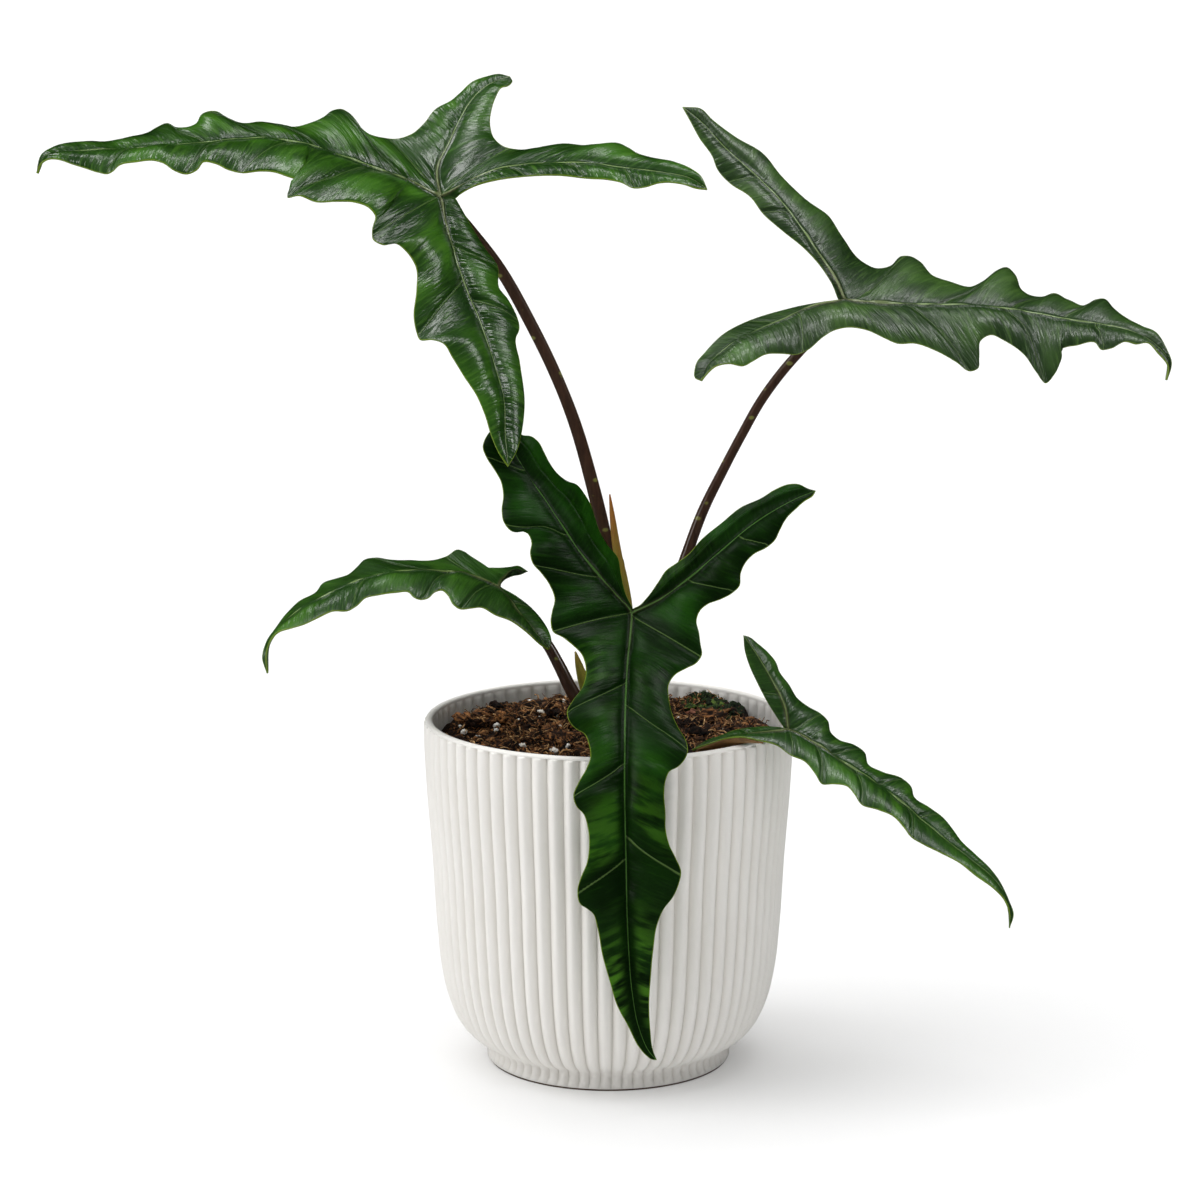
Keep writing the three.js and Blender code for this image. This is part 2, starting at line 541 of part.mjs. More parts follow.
// A small tilted block that stands for a bark chip or a grain, sunk half into the mix
function chipSolid(x, y, sizes, turn) {
  const box = new THREE.BoxGeometry(sizes[0], sizes[1], sizes[2]);
  box.applyMatrix4(new THREE.Matrix4().makeRotationFromEuler(new THREE.Euler(turn[0], turn[1], turn[2])));
  box.translate(x, y, soilHeight(x, y) + CHIP_STAND);
  return solidFrom(box);
}

// Potting mix: it fills the pot, has a lumpy top with chips on it, and leaves the stalks their holes
function makeSoil(clearances) {
  const rings = [...POT_INSIDE].reverse()
    .map(([radius, z]) => roundRing(radius - SOIL_PLAY, z + GAP, SOIL_SIDES));
  const flutesBelow = POT_HEIGHT - FLUTE_DEPTH - 2 * RIB_END;
  rings.push(roundRing(POT_INSIDE_RADIUS - SOIL_PLAY, flutesBelow, SOIL_SIDES));
  for (const radius of [POT_INSIDE_RADIUS - GAP, ...SOIL_RINGS]) {
    rings.push(roundRing(radius, 0, SOIL_SIDES).map(([x, y]) => [x, y, soilHeight(x, y)]));
  }
  let soil = solidFrom(skinRings(rings, [0, 0, POT_FLOOR + GAP], [0, 0, soilHeight(0, 0)]));
  const draw = seededDraw(7);
  for (let k = 0; k < CHIP_COUNT; k += 1) {
    const angle = 2 * Math.PI * draw();
    const radius = between(CHIP_GROUND, Math.sqrt(draw()));
    const length = between(CHIP_LENGTHS, draw());
    const width = length * between(CHIP_WIDTH_SHARES, draw());
    const sizes = [length, width, between(CHIP_HEIGHTS, draw())];
    const tilts = [-CHIP_TILT, CHIP_TILT];
    const turn = [between(tilts, draw()), between(tilts, draw()), Math.PI * draw()];
    soil = soil.add(chipSolid(radius * Math.cos(angle), radius * Math.sin(angle), sizes, turn));
  }
  for (const clearance of clearances) {
    soil = soil.subtract(clearance);
  }
  return geometryOf(mainBody(soil));
}

// A tube along a smooth curve through the points, with a radius at each step
function makeTube(points, radiusAt, steps) {
  const curve = new THREE.CatmullRomCurve3(points.map((p) => new THREE.Vector3(p[0], p[1], p[2])));
  const frames = curve.computeFrenetFrames(steps, false);
  const rings = [];
  for (let i = 0; i <= steps; i += 1) {
    const middle = curve.getPointAt(i / steps);
    const radius = radiusAt(i / steps);
    const ring = [];
    for (let j = 0; j < TUBE_SIDES; j += 1) {
      const angle = (2 * Math.PI * j) / TUBE_SIDES;
      const point = middle.clone()
        .addScaledVector(frames.normals[i], radius * Math.cos(angle))
        .addScaledVector(frames.binormals[i], radius * Math.sin(angle));
      ring.push(point.toArray());
    }
    rings.push(ring);
  }
  return skinRings(rings, curve.getPointAt(0).toArray(), curve.getPointAt(1).toArray());
}

function stalkTube(stalk, extra) {
  const [foot, top] = stalk.radii;
  const radiusAt = (t) => foot + (top - foot) * Math.min(1, t / STALK_TAPER_END) + extra;
  return makeTube(stalk.path, radiusAt, STALK_STEPS);
}

// A tapering tube whose points carry their own radius
function taperedTube(points, extra) {
  const radii = points.map((p) => p[3]);
  const radiusAt = (t) => {
    const at = t * (radii.length - 1);
    const k = Math.min(radii.length - 2, Math.floor(at));
    return radii[k] + (radii[k + 1] - radii[k]) * (at - k) + extra;
  };
  return makeTube(points, radiusAt, SPEAR_STEPS);
}

// Running length along a chain of points
function runningLength(chain) {
  const lengths = [0];
  for (let i = 1; i < chain.length; i += 1) {
    lengths.push(lengths[i - 1] + chain[i].distanceTo(chain[i - 1]));
  }
  return lengths;
}

function pointAlong(chain, lengths, s) {
  const at = Math.min(Math.max(s, 0), lengths[lengths.length - 1]);
  let k = 1;
  while (k < chain.length - 1 && lengths[k] < at) {
    k += 1;
  }
  const share = (at - lengths[k - 1]) / (lengths[k] - lengths[k - 1]);
  return chain[k - 1].clone().lerp(chain[k], share);
}

// For each edge point, the place on the spine that its rib starts from: half way between the
// nearest place and the place at the same share of the length, and never going back
function ribFeet(spine, edge) {
  const spineLengths = runningLength(spine);
  const edgeLengths = runningLength(edge);
  const whole = spineLengths[spine.length - 1];
  const tries = 200;
  const feet = [];
  let reached = 0;
  edge.forEach((point, i) => {
    let nearest = 0;
    let best = Infinity;
    for (let s = 0; s <= whole; s += whole / tries) {
      const distance = pointAlong(spine, spineLengths, s).distanceTo(point);
      if (distance < best) {
        best = distance;
        nearest = s;
      }
    }
    const share = (edgeLengths[i] / edgeLengths[edge.length - 1]) * whole;
    reached = Math.max(reached, 0.5 * nearest + 0.5 * share);
    feet.push(i === edge.length - 1 ? whole : reached);
  });
  feet[0] = 0;
  return feet;
}

// Leaf blade as one closed thin body. Each field between two main veins spans from its spine, which
// runs down one vein and up the next, to the edge between their tips.
function makeBlade(leaf, extra = 0) {
  const vector = (p) => new THREE.Vector3(p[0], p[1], p[2]);
  const points = [];
  const halves = [];
  const add = (point, half) => {
    points.push(point);
    halves.push(half + extra);
    return points.length - 1;
  };
  const junction = add(vector(leaf.junction), HALF_AT_JUNCTION);
  const sinus = add(vector(leaf.sinus), HALF_AT_EDGE);
  const veins = leaf.veins.map((vein) => vein.map((p, i) => {
    const share = (i + 1) / vein.length;
    return add(vector(p), HALF_AT_JUNCTION + (HALF_AT_VEIN_TIP - HALF_AT_JUNCTION) * share);
  }));
  const edges = leaf.edges.map((edge) => edge.map((p) => add(vector(p), HALF_AT_EDGE)));
  const tipOf = (vein) => vein[vein.length - 1];
  const sinusRib = add(vector(leaf.junction).lerp(vector(leaf.sinus), 0.5), HALF_BETWEEN);
  const triangles = [];
  const loop = [sinus];

  edges.forEach((edgePoints, k) => {
    const before = k > 0 ? veins[k - 1] : null;
    const after = k < veins.length ? veins[k] : null;
    const spine = [
      ...(before ? [...before].reverse() : []), junction, ...(after || []),
    ];
    const edge = [before ? tipOf(before) : sinus, ...edgePoints, after ? tipOf(after) : sinus];
    const spineChain = spine.map((i) => points[i]);
    const edgeChain = edge.map((i) => points[i]);
    const spineLengths = runningLength(spineChain);
    const whole = spineLengths[spine.length - 1];
    const feet = ribFeet(spineChain, edgeChain);
    const middle = edge.map((index, i) => {
      if (i === 0) {
        return before ? index : sinusRib;
      }
      if (i === edge.length - 1) {
        return after ? index : sinusRib;
      }
      const foot = pointAlong(spineChain, spineLengths, feet[i]);
      const ahead = pointAlong(spineChain, spineLengths, feet[i] + SPINE_REACH);
      const behind = pointAlong(spineChain, spineLengths, feet[i] - SPINE_REACH);
      const across = edgeChain[i].clone().sub(foot);
      const up = ahead.sub(behind).cross(across).normalize();
      const swell = leaf.arch[k] * Math.min(1, across.length() / FULL_SWELL_WIDTH);
      return add(foot.lerp(edgeChain[i], 0.5).addScaledVector(up, swell), HALF_BETWEEN);
    });
    let i = 0;
    let j = 0;
    while (i < spine.length - 1 || j < middle.length - 1) {
      const spineNext = i < spine.length - 1 ? spineLengths[i + 1] : Infinity;
      const middleNext = j < middle.length - 1 ? feet[j + 1] : Infinity;
      if (middleNext <= spineNext) {
        if (spine[i] !== middle[j] && spine[i] !== middle[j + 1]) {
          triangles.push([spine[i], middle[j + 1], middle[j]]);
        }
        j += 1;
      } else {
        if (spine[i] !== middle[j] && spine[i + 1] !== middle[j]) {
          triangles.push([spine[i], spine[i + 1], middle[j]]);
        }
        i += 1;
      }
    }
    for (let m = 0; m + 1 < edge.length; m += 1) {
      if (middle[m] !== edge[m]) {
        triangles.push([middle[m], edge[m + 1], edge[m]]);
      }
      if (middle[m + 1] !== edge[m + 1]) {
        triangles.push([middle[m], middle[m + 1], edge[m + 1]]);
      }
    }
    loop.push(...edge.slice(1));
  });
  loop.pop();
  return thicken(points, halves, triangles, loop, extra);
}

// Gives a sheet its thickness: each point moves out both ways along its normal, and a strip closes
// the two faces along the edge. The edge itself can be spread outwards too.
function thicken(points, halves, triangles, loop, spread) {
  const normals = points.map(() => new THREE.Vector3());
  for (const [a, b, c] of triangles) {
    const face = points[b].clone().sub(points[a]).cross(points[c].clone().sub(points[a]));
    normals[a].add(face);
    normals[b].add(face);
    normals[c].add(face);
  }
  const count = points.length;
  normals.forEach((normal) => normal.normalize());
  const outwards = loop.map((a, i) => {
    const along = points[loop[(i + 1) % loop.length]].clone()
      .sub(points[loop[(i + loop.length - 1) % loop.length]]);
    return normals[a].clone().cross(along).setLength(spread);
  });
  loop.forEach((a, i) => points[a].add(outwards[i]));
  const upper = points.map((p, i) => p.clone().addScaledVector(normals[i], halves[i]));
  const lower = points.map((p, i) => p.clone().addScaledVector(normals[i], -halves[i]));
  const faces = triangles.map((t) => [...t]);
  for (const [a, b, c] of triangles) {
    faces.push([a + count, c + count, b + count]);
  }
  loop.forEach((a, i) => {
    const b = loop[(i + 1) % loop.length];
    faces.push([a, b, b + count], [a, b + count, a + count]);
  });
  return geometryFrom([...upper, ...lower].map((p) => p.toArray()), faces);
}

// Knobby crown in the middle of the mix
function crownSolid(extra) {
  const outline = CROWN_STEPS.map(([inside, z]) => new THREE.Vector2(CROWN_RADIUS - inside + extra, z));
  const low = ROOT_DEPTH - 2 - extra;
  outline[0].y = low;
  outline.unshift(new THREE.Vector2(0, low));
  outline.push(new THREE.Vector2(0, CROWN_TOP + extra));
  const lathe = new THREE.LatheGeometry(outline, CROWN_SIDES);
  lathe.rotateX(Math.PI / 2);
  lathe.translate(CROWN_AT[0], CROWN_AT[1], 0);
  return solidFrom(lathe);
}

const leaves = {
  upper_left: UPPER_LEFT,
  upper_right: UPPER_RIGHT,
  front: FRONT,
  lower_left: LOWER_LEFT,
  lower_right: LOWER_RIGHT,
};

const material = (color, roughness) => new THREE.MeshStandardMaterial({ color, roughness, metalness: 0 });
const potMaterial = material(0xefede9, 0.7);
const soilMaterial = material(0x3a2415, 0.95);
const crownMaterial = material(0x4a3a24, 0.8);
const bladeMaterial = material(0x1c3d1c, 0.35);
const stalkMaterial = material(0x3f2a26, 0.45);
const spearMaterial = material(0x8a7a2a, 0.45);
const sheathMaterial = material(0xa08a30, 0.6);

const plant = new THREE.Group();

function addPart(name, geometry, partMaterial) {
  const mesh = new THREE.Mesh(geometry, partMaterial);
  mesh.name = name;
  plant.add(mesh);
}

const feetClearances = [];
for (const stalk of Object.values(STALKS)) {
  feetClearances.push(solidFrom(stalkTube(stalk, GAP)));
}
feetClearances.push(solidFrom(taperedTube(SPEAR, GAP)));
feetClearances.push(solidFrom(taperedTube(SHEATH, GAP)));

addPart('pot', makePot(), potMaterial);
addPart('soil', makeSoil([...feetClearances, crownSolid(GAP)]), soilMaterial);
const crown = feetClearances.reduce((solid, clearance) => solid.subtract(clearance), crownSolid(0));
addPart('crown', geometryOf(mainBody(crown)), crownMaterial);
for (const [name, leaf] of Object.entries(leaves)) {
  const clearance = solidFrom(makeBlade(leaf, GAP));
  const stalk = solidFrom(stalkTube(STALKS[name], 0)).subtract(clearance);
  addPart(`stalk_${name}`, geometryOf(mainBody(stalk)), stalkMaterial);
  addPart(`blade_${name}`, makeBlade(leaf), bladeMaterial);
}
addPart('spear', taperedTube(SPEAR, 0), spearMaterial);
addPart('sheath', taperedTube(SHEATH, 0), sheathMaterial);

export default plant;
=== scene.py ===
import math

import bmesh
import bpy
import numpy as np
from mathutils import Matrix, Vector, noise


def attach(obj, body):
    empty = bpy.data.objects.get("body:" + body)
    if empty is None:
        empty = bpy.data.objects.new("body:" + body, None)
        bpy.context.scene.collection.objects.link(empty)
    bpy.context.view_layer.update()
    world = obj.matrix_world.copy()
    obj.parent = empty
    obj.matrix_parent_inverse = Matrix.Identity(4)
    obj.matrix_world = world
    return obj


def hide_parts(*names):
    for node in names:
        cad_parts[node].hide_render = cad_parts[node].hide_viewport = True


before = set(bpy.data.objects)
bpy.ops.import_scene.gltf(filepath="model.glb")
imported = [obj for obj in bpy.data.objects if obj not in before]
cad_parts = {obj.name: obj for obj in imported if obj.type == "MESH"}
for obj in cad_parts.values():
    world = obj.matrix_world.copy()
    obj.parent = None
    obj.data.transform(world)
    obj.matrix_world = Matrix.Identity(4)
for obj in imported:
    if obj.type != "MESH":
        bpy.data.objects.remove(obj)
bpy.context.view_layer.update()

# Sabrina alocasia in a white fluted cover pot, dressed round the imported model. Sizes are written in
# millimetres, as a grower or a potter would measure them, and scaled once.
MM = 0.001


# Photo table: seamless white paper, soft lamps from the left, above and behind with weak fills, and
# narrow strip lamps that draw the sheen. The camera stands a little over a metre away.
FLOOR_REACH = 60000
PAPER_GLOW = 0.168
LAMP_DISTANCE = 3


def linear(hex_colour):
    """A colour as written on a swatch, turned into the linear light that shaders work in."""
    parts = [int(hex_colour[i:i + 2], 16) / 255 for i in (1, 3, 5)]
    return [c / 12.92 if c <= 0.04045 else ((c + 0.055) / 1.055) ** 2.4 for c in parts] + [1.0]


def add(tree, kind, inputs=(), **settings):
    """Adds a node: settings are its options, and inputs give each socket a value, another node's
    socket, or another node, whose first output in use is linked."""
    node = tree.nodes.new(kind)
    for option, value in settings.items():
        setattr(node, option, value)
    for key, value in dict(inputs).items():
        if isinstance(value, bpy.types.Node):
            value = next(socket for socket in value.outputs if socket.enabled)
        if isinstance(value, bpy.types.NodeSocket):
            tree.links.new(value, node.inputs[key])
        else:
            node.inputs[key].default_value = value
    return node


def new_material(name, roughness, ior=1.45, **sockets):
    """An empty surface with its uniform values set on the shader itself."""
    material = bpy.data.materials.new(name)
    material.use_nodes = True
    tree = material.node_tree
    shader = tree.nodes["Principled BSDF"]
    shader.inputs["Roughness"].default_value = roughness
    shader.inputs["IOR"].default_value = ior
    for socket, value in sockets.items():
        shader.inputs[socket.replace("_", " ")].default_value = value
    return material, tree, shader


def place(name, mesh):
    thing = bpy.data.objects.new(name, mesh)
    bpy.context.scene.collection.objects.link(thing)
    return thing


def mesh_from(name, points, faces, smooth=True):
    """A mesh from places in millimetres."""
    mesh = bpy.data.meshes.new(name)
    mesh.from_pydata([tuple(c * MM for c in p) for p in points], [], faces)
    mesh.polygons.foreach_set("use_smooth", [smooth] * len(mesh.polygons))
    mesh.update()
    return mesh


corners = [(x * FLOOR_REACH, y * FLOOR_REACH, 0) for x, y in ((-1, -1), (1, -1), (1, 1), (-1, 1))]
floor = place("floor", mesh_from("floor", corners, [(0, 1, 2, 3)], smooth=False))
# Seamless white background paper: matte, and lit a little from below, so that it stays white to the
# horizon. Black flags keep its glare off the leaves.
paper, tree, shader = new_material("seamless_paper", 1.0)
shader.inputs["Base Color"].default_value = linear("#e4e4e4")
shader.inputs["Specular IOR Level"].default_value = 0.0
shader.inputs["Emission Color"].default_value = linear("#ffffff")
shader.inputs["Emission Strength"].default_value = PAPER_GLOW
floor.data.materials.append(paper)
floor.visible_glossy = False


def lamp(name, towards, strength, softness, gives_sheen=False):
    """A far lamp behind a round diffuser that spans so many degrees of the sky. Crossed polarisers
    part the lamps that model the shapes from those that give the sheen."""
    light = bpy.data.lights.new(name, "SUN")
    light.energy = strength
    light.angle = math.radians(softness)
    thing = place(name, light)
    thing.location = Vector(towards).normalized() * LAMP_DISTANCE
    thing.rotation_euler = Vector(towards).to_track_quat("Z", "Y").to_euler()
    thing.visible_glossy = gives_sheen
    thing.visible_diffuse = not gives_sheen


lamp("key_lamp", (-0.98, -0.2, 0.68), 1.3, 60)
lamp("overhead_lamp", (-0.2, -0.1, 1), 1.32, 85)
lamp("upper_lamp", (-0.05, 0.15, 1), 1.62, 60)
lamp("front_fill_lamp", (0.2, -1, 0.4), 0.24, 60)
lamp("right_fill_lamp", (0.9, -0.5, 0.75), 0.25, 60)
lamp("top_strip", (0, 0.1, 1), 0.28, 15, gives_sheen=True)
lamp("front_top_strip", (0.35, -0.45, 1.2), 0.8, 20, gives_sheen=True)
lamp("right_strip", (0.75, -0.2, 0.6), 0.5, 20, gives_sheen=True)
lamp("left_strip", (-0.9, -0.3, 0.9), 0.5, 20, gives_sheen=True)
lamp("low_left_strip", (-1, -0.35, 0.12), 0.4, 20, gives_sheen=True)
lamp("rear_left_strip", (-0.7, 0.7, 1.2), 0.25, 15, gives_sheen=True)

world = bpy.data.worlds.new("studio")
world.use_nodes = True
world.node_tree.nodes["Background"].inputs["Strength"].default_value = 0.0
bpy.context.scene.world = world
bpy.context.scene.view_settings.view_transform = "Standard"

camera_data = bpy.data.cameras.new("camera")
camera_data.lens = 102.24
camera_data.sensor_width = 36
camera_data.clip_end = 100
camera = place("camera", camera_data)
camera.location = (-0.0034, -1.351, 0.446)
camera.rotation_euler = (math.radians(79.286), 0, 0)
bpy.context.scene.camera = camera


# Cover pot: slip-cast stoneware with a matte white glaze, rounded above a low foot. Seventy round
# ribs run from the foot to just below a smooth lip, and fainter ones line the inner wall down to the
# mix. The lowest ring of the foot is set back and coloured dark brown.
POT_RADIUS = 74.9
POT_HEIGHT = 142.5
POT_WALL = 4.3
POT_FLOOR = 7
FOOT_RADIUS = 50
FOOT_SETBACK = 0.8
DARK_FOOT_RING = 0.7
FOOT_CORNER = 1.1
RIB_COUNT = 70
RIB_DEPTH = 2.5
INNER_RIBS = 0.42
LIP_BAND = 1.5
LIP_SETBACK = 0.7
LIP_ROUND = 1.3
LIP_STEPS = 8
RIB_STEPS = 12
RIB_START = 0.25
PROFILE_STEP = 2.4
INSIDE_STEP = 6

POT_OUTSIDE = [
    (FOOT_RADIUS, FOOT_CORNER), (49.6, 3.2), (49.3, 4.8), (49.4, 6), (49.9, 7), (50.9, 7.9), (52.4, 8.8),
    (54.3, 9.8), (56.6, 11.3), (59.1, 13.7), (62.6, 18.8), (65.9, 27), (68.5, 39),
    (70.2, 56), (72, 87), (73.9, 112), (POT_RADIUS, 131),
]
POT_INSIDE = [(POT_RADIUS - POT_WALL, 110), (66.5, 60), (63, 33), (55, 15), (44, POT_FLOOR)]

# How much of their depth the ribs have at each height of the foot, and how they run out at the lip:
# set back from the wall, dropped from the lip's band, and share of the depth
RIBS_OVER_FOOT = ((FOOT_CORNER, 2.4, 6, 10), (0, 0.6, 0.6, 1))
ROWS_BELOW_LIP = (5, 2.6, 1.2, 0.5)
RIBS_END_OUTSIDE = ((0.1, 0.18, 1), (0.3, 0.03, 0.9), (0.5, 0, 0.6), (LIP_SETBACK, -0.08, 0.15))
RIBS_START_INSIDE = ((LIP_SETBACK, 0, 0), (0.5, 0.5, 0.1), (0.25, 1.3, 0.2), (0.1, 2.4, 0.35))
ROWS_INSIDE = (3.6, 5.2, 8, 12, 16, 22)


def smooth_line(points, step):
    """A smooth curve through the points, with a point about every step along it."""
    points = np.array(points, float)
    gaps = np.linalg.norm(np.diff(points, axis=0), axis=1)
    reach = np.concatenate([[0], np.cumsum(gaps)])
    slopes = np.gradient(points, reach, axis=0)
    line = [points[:1]]
    for k, gap in enumerate(gaps):
        u = np.linspace(0, 1, max(1, round(gap / step)) + 1)[1:, None]
        line.append((2 * u**3 - 3 * u**2 + 1) * points[k] + (u**3 - 2 * u**2 + u) * gap * slopes[k]
                    + (3 * u**2 - 2 * u**3) * points[k + 1] + (u**3 - u**2) * gap * slopes[k + 1])
    return np.concatenate(line)


def pot_section():
    """The wall's section from the middle of the underside round the lip to the middle of the floor:
    radius, height, and how deep the ribs cut there, outwards or inwards."""
    section = [(0, 0, 0), (FOOT_RADIUS - 5, 0, 0), (FOOT_RADIUS - FOOT_SETBACK, 0, 0),
               (FOOT_RADIUS - 0.75 * FOOT_SETBACK, DARK_FOOT_RING, 0), (FOOT_RADIUS, FOOT_CORNER, 0)]
    lip = (POT_WALL - 2 * LIP_SETBACK) / 2
    inside = POT_RADIUS - POT_WALL
    band = POT_HEIGHT - LIP_BAND
    for r, z in smooth_line(POT_OUTSIDE, PROFILE_STEP)[1:]:
        section.append((r, z, -np.interp(z, *RIBS_OVER_FOOT)))
    section += [(POT_RADIUS, band - drop, -1) for drop in ROWS_BELOW_LIP]
    section += [(POT_RADIUS - back, band - drop, -share) for back, drop, share in RIBS_END_OUTSIDE]
    for step in range(LIP_STEPS + 1):
        angle = math.pi * step / LIP_STEPS
        section.append((POT_RADIUS - LIP_SETBACK - lip + lip * math.cos(angle),
                        POT_HEIGHT - LIP_ROUND + LIP_ROUND * math.sin(angle) ** 0.8, 0))
    section += [(inside + back, band - drop, share) for back, drop, share in RIBS_START_INSIDE]
    section += [(inside, band - drop, INNER_RIBS) for drop in ROWS_INSIDE]
    section.append((inside, band - 26, INNER_RIBS / 2.1))
    section += [(r, z, 0) for r, z in smooth_line(POT_INSIDE, INSIDE_STEP)]
    section += [(20, POT_FLOOR, 0), (0, POT_FLOOR, 0)]
    return section


# The section is turned round the axis on a grid: each column of the grid is one section, and the
# ribs are round between narrow grooves
turned = bpy.data.node_groups.new("turned_and_ribbed", "GeometryNodeTree")
for label, kind in (("Section", "NodeSocketGeometry"), ("Ribs", "NodeSocketInt"),
                    ("Rib depth", "NodeSocketFloat"), ("Rib start", "NodeSocketFloat"),
                    ("Columns", "NodeSocketInt"), ("Rows", "NodeSocketInt"),
                    ("Glaze", "NodeSocketMaterial")):
    turned.interface.new_socket(label, in_out="INPUT", socket_type=kind)
turned.interface.new_socket("Pot", in_out="OUTPUT", socket_type="NodeSocketGeometry")
given = add(turned, "NodeGroupInput").outputs
grid = add(turned, "GeometryNodeMeshGrid", {"Vertices X": given["Columns"], "Vertices Y": given["Rows"]})
index = add(turned, "GeometryNodeInputIndex")
column = add(turned, "ShaderNodeMath", {0: index, 1: given["Rows"]}, operation="DIVIDE")
column = add(turned, "ShaderNodeMath", {0: column}, operation="FLOOR")
rows_before = add(turned, "ShaderNodeMath", {0: column, 1: given["Rows"]}, operation="MULTIPLY")
row = add(turned, "ShaderNodeMath", {0: index, 1: rows_before}, operation="SUBTRACT")
last_column = add(turned, "ShaderNodeMath", {0: given["Columns"], 1: 1}, operation="SUBTRACT")
turn = add(turned, "ShaderNodeMath", {0: column, 1: last_column}, operation="DIVIDE")
turn = add(turned, "ShaderNodeMath", {0: turn, 1: math.tau}, operation="MULTIPLY")
in_section = add(turned, "GeometryNodeSampleIndex", {
    0: given["Section"], "Value": add(turned, "GeometryNodeInputPosition"), "Index": row},
    data_type="FLOAT_VECTOR")
section_radius, section_share, section_height = add(
    turned, "ShaderNodeSeparateXYZ", {0: in_section}).outputs

# Across one rib the surface is an arc: highest in the middle and deepest at the groove on either side
ribs_per_turn = add(turned, "ShaderNodeMath", {0: given["Ribs"], 1: math.tau}, operation="DIVIDE")
across = add(turned, "ShaderNodeMath", {0: turn, 1: ribs_per_turn, 2: given["Rib start"]},
             operation="MULTIPLY_ADD")
across = add(turned, "ShaderNodeMath", {0: across}, operation="FRACT")
across = add(turned, "ShaderNodeMath", {0: across, 1: 2, 2: -1}, operation="MULTIPLY_ADD")
across = add(turned, "ShaderNodeMath", {0: across}, operation="ABSOLUTE")
hollow = add(turned, "ShaderNodeMath", {0: across, 1: 2}, operation="POWER")
depth = add(turned, "ShaderNodeMath", {0: section_share, 1: given["Rib depth"]}, operation="MULTIPLY")
radius = add(turned, "ShaderNodeMath", {0: hollow, 1: depth, 2: section_radius},
             operation="MULTIPLY_ADD")
cosine = add(turned, "ShaderNodeMath", {0: turn}, operation="COSINE")
sine = add(turned, "ShaderNodeMath", {0: turn}, operation="SINE")
turned_point = add(turned, "ShaderNodeCombineXYZ", {
    0: add(turned, "ShaderNodeMath", {0: radius, 1: cosine}, operation="MULTIPLY"),
    1: add(turned, "ShaderNodeMath", {0: radius, 1: sine}, operation="MULTIPLY"), 2: section_height})
shaped = add(turned, "GeometryNodeSetPosition", {0: grid, "Position": turned_point})

# Every place keeps how near a groove it is, for the grey shade painted into the grooves
groove = add(turned, "ShaderNodeMath", {0: across, 1: 6}, operation="POWER")
share = add(turned, "ShaderNodeMath", {0: section_share}, operation="ABSOLUTE")
groove = add(turned, "ShaderNodeMath", {0: groove, 1: share}, operation="MULTIPLY")
marked = add(turned, "GeometryNodeStoreNamedAttribute", {0: shaped, "Name": "groove", "Value": groove},
             data_type="FLOAT", domain="POINT")
closed = add(turned, "GeometryNodeMergeByDistance", {0: marked, "Distance": 0.02 * MM})
rounded = add(turned, "GeometryNodeSetShadeSmooth", {0: closed})
real = add(turned, "GeometryNodeRealizeInstances", {0: rounded})
glazed = add(turned, "GeometryNodeSetMaterial", {0: real, "Material": given["Glaze"]})
add(turned, "NodeGroupOutput", {0: glazed})


def grow(name, tree, values, base):
    """Runs a node tree on a base mesh with its named inputs set, and keeps the result as plain mesh."""
    thing = place(name, base)
    modifier = thing.modifiers.new("grow", "NODES")
    modifier.node_group = tree
    for item in tree.interface.items_tree:
        if item.item_type == "SOCKET" and item.in_out == "INPUT" and item.name in values:
            modifier[item.identifier] = values[item.name]
    grown = thing.evaluated_get(bpy.context.evaluated_depsgraph_get())
    mesh = bpy.data.meshes.new_from_object(grown)
    thing.modifiers.remove(modifier)
    thing.data = mesh
    mesh.name = name
    return thing


# Matte white glaze on cast stoneware: a soft broad sheen, faint orange-peel, and grey shade painted
# into the grooves to deepen them. The set-back ring at the foot is dark brown.
glaze, tree, shader = new_material("matte_white_glaze", 0.55, 1.5)
where = add(tree, "ShaderNodeTexCoord").outputs["Object"]
cloud = add(tree, "ShaderNodeTexNoise", {"Vector": where, "Scale": 28, "Detail": 3})
tint = add(tree, "ShaderNodeMix", {0: cloud, 6: linear("#efece6"), 7: linear("#f6f4f0")},
           data_type="RGBA")
# Painted shade: the glaze is greyed towards the bottom of each groove
painted_groove_shade = add(tree, "ShaderNodeAttribute", attribute_name="groove").outputs["Fac"]
tint = add(tree, "ShaderNodeMix", {0: painted_groove_shade, 6: tint, 7: linear("#dcd8d0")}, data_type="RGBA")
height = add(tree, "ShaderNodeSeparateXYZ", {0: where}).outputs["Z"]
# The thin set-back ring at the bottom of the foot is dark brown
above_foot_ring = add(tree, "ShaderNodeMapRange", {
    0: height, 1: 0.9 * DARK_FOOT_RING * MM, 2: 1.1 * DARK_FOOT_RING * MM})
tint = add(tree, "ShaderNodeMix", {0: above_foot_ring, 6: linear("#5e4838"), 7: tint}, data_type="RGBA")
tree.links.new(tint.outputs[2], shader.inputs["Base Color"])
peel = add(tree, "ShaderNodeTexNoise", {"Vector": where, "Scale": 900, "Detail": 2})
bump = add(tree, "ShaderNodeBump", {"Height": peel, "Strength": 0.25, "Distance": 0.08 * MM})
tree.links.new(bump.outputs[0], shader.inputs["Normal"])

# The section as a mesh of loose places: Y holds the ribs' share, which mesh_from would scale
section = pot_section()
section_mesh = mesh_from("pot_section", [(r, share / MM, z) for r, z, share in section], [])
pot = grow("cover_pot", turned, {
    "Ribs": RIB_COUNT, "Rib depth": RIB_DEPTH * MM, "Rib start": RIB_START, "Rows": len(section),
    "Columns": RIB_COUNT * RIB_STEPS + 1, "Glaze": glaze}, section_mesh)
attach(pot, "root")
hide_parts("pot")


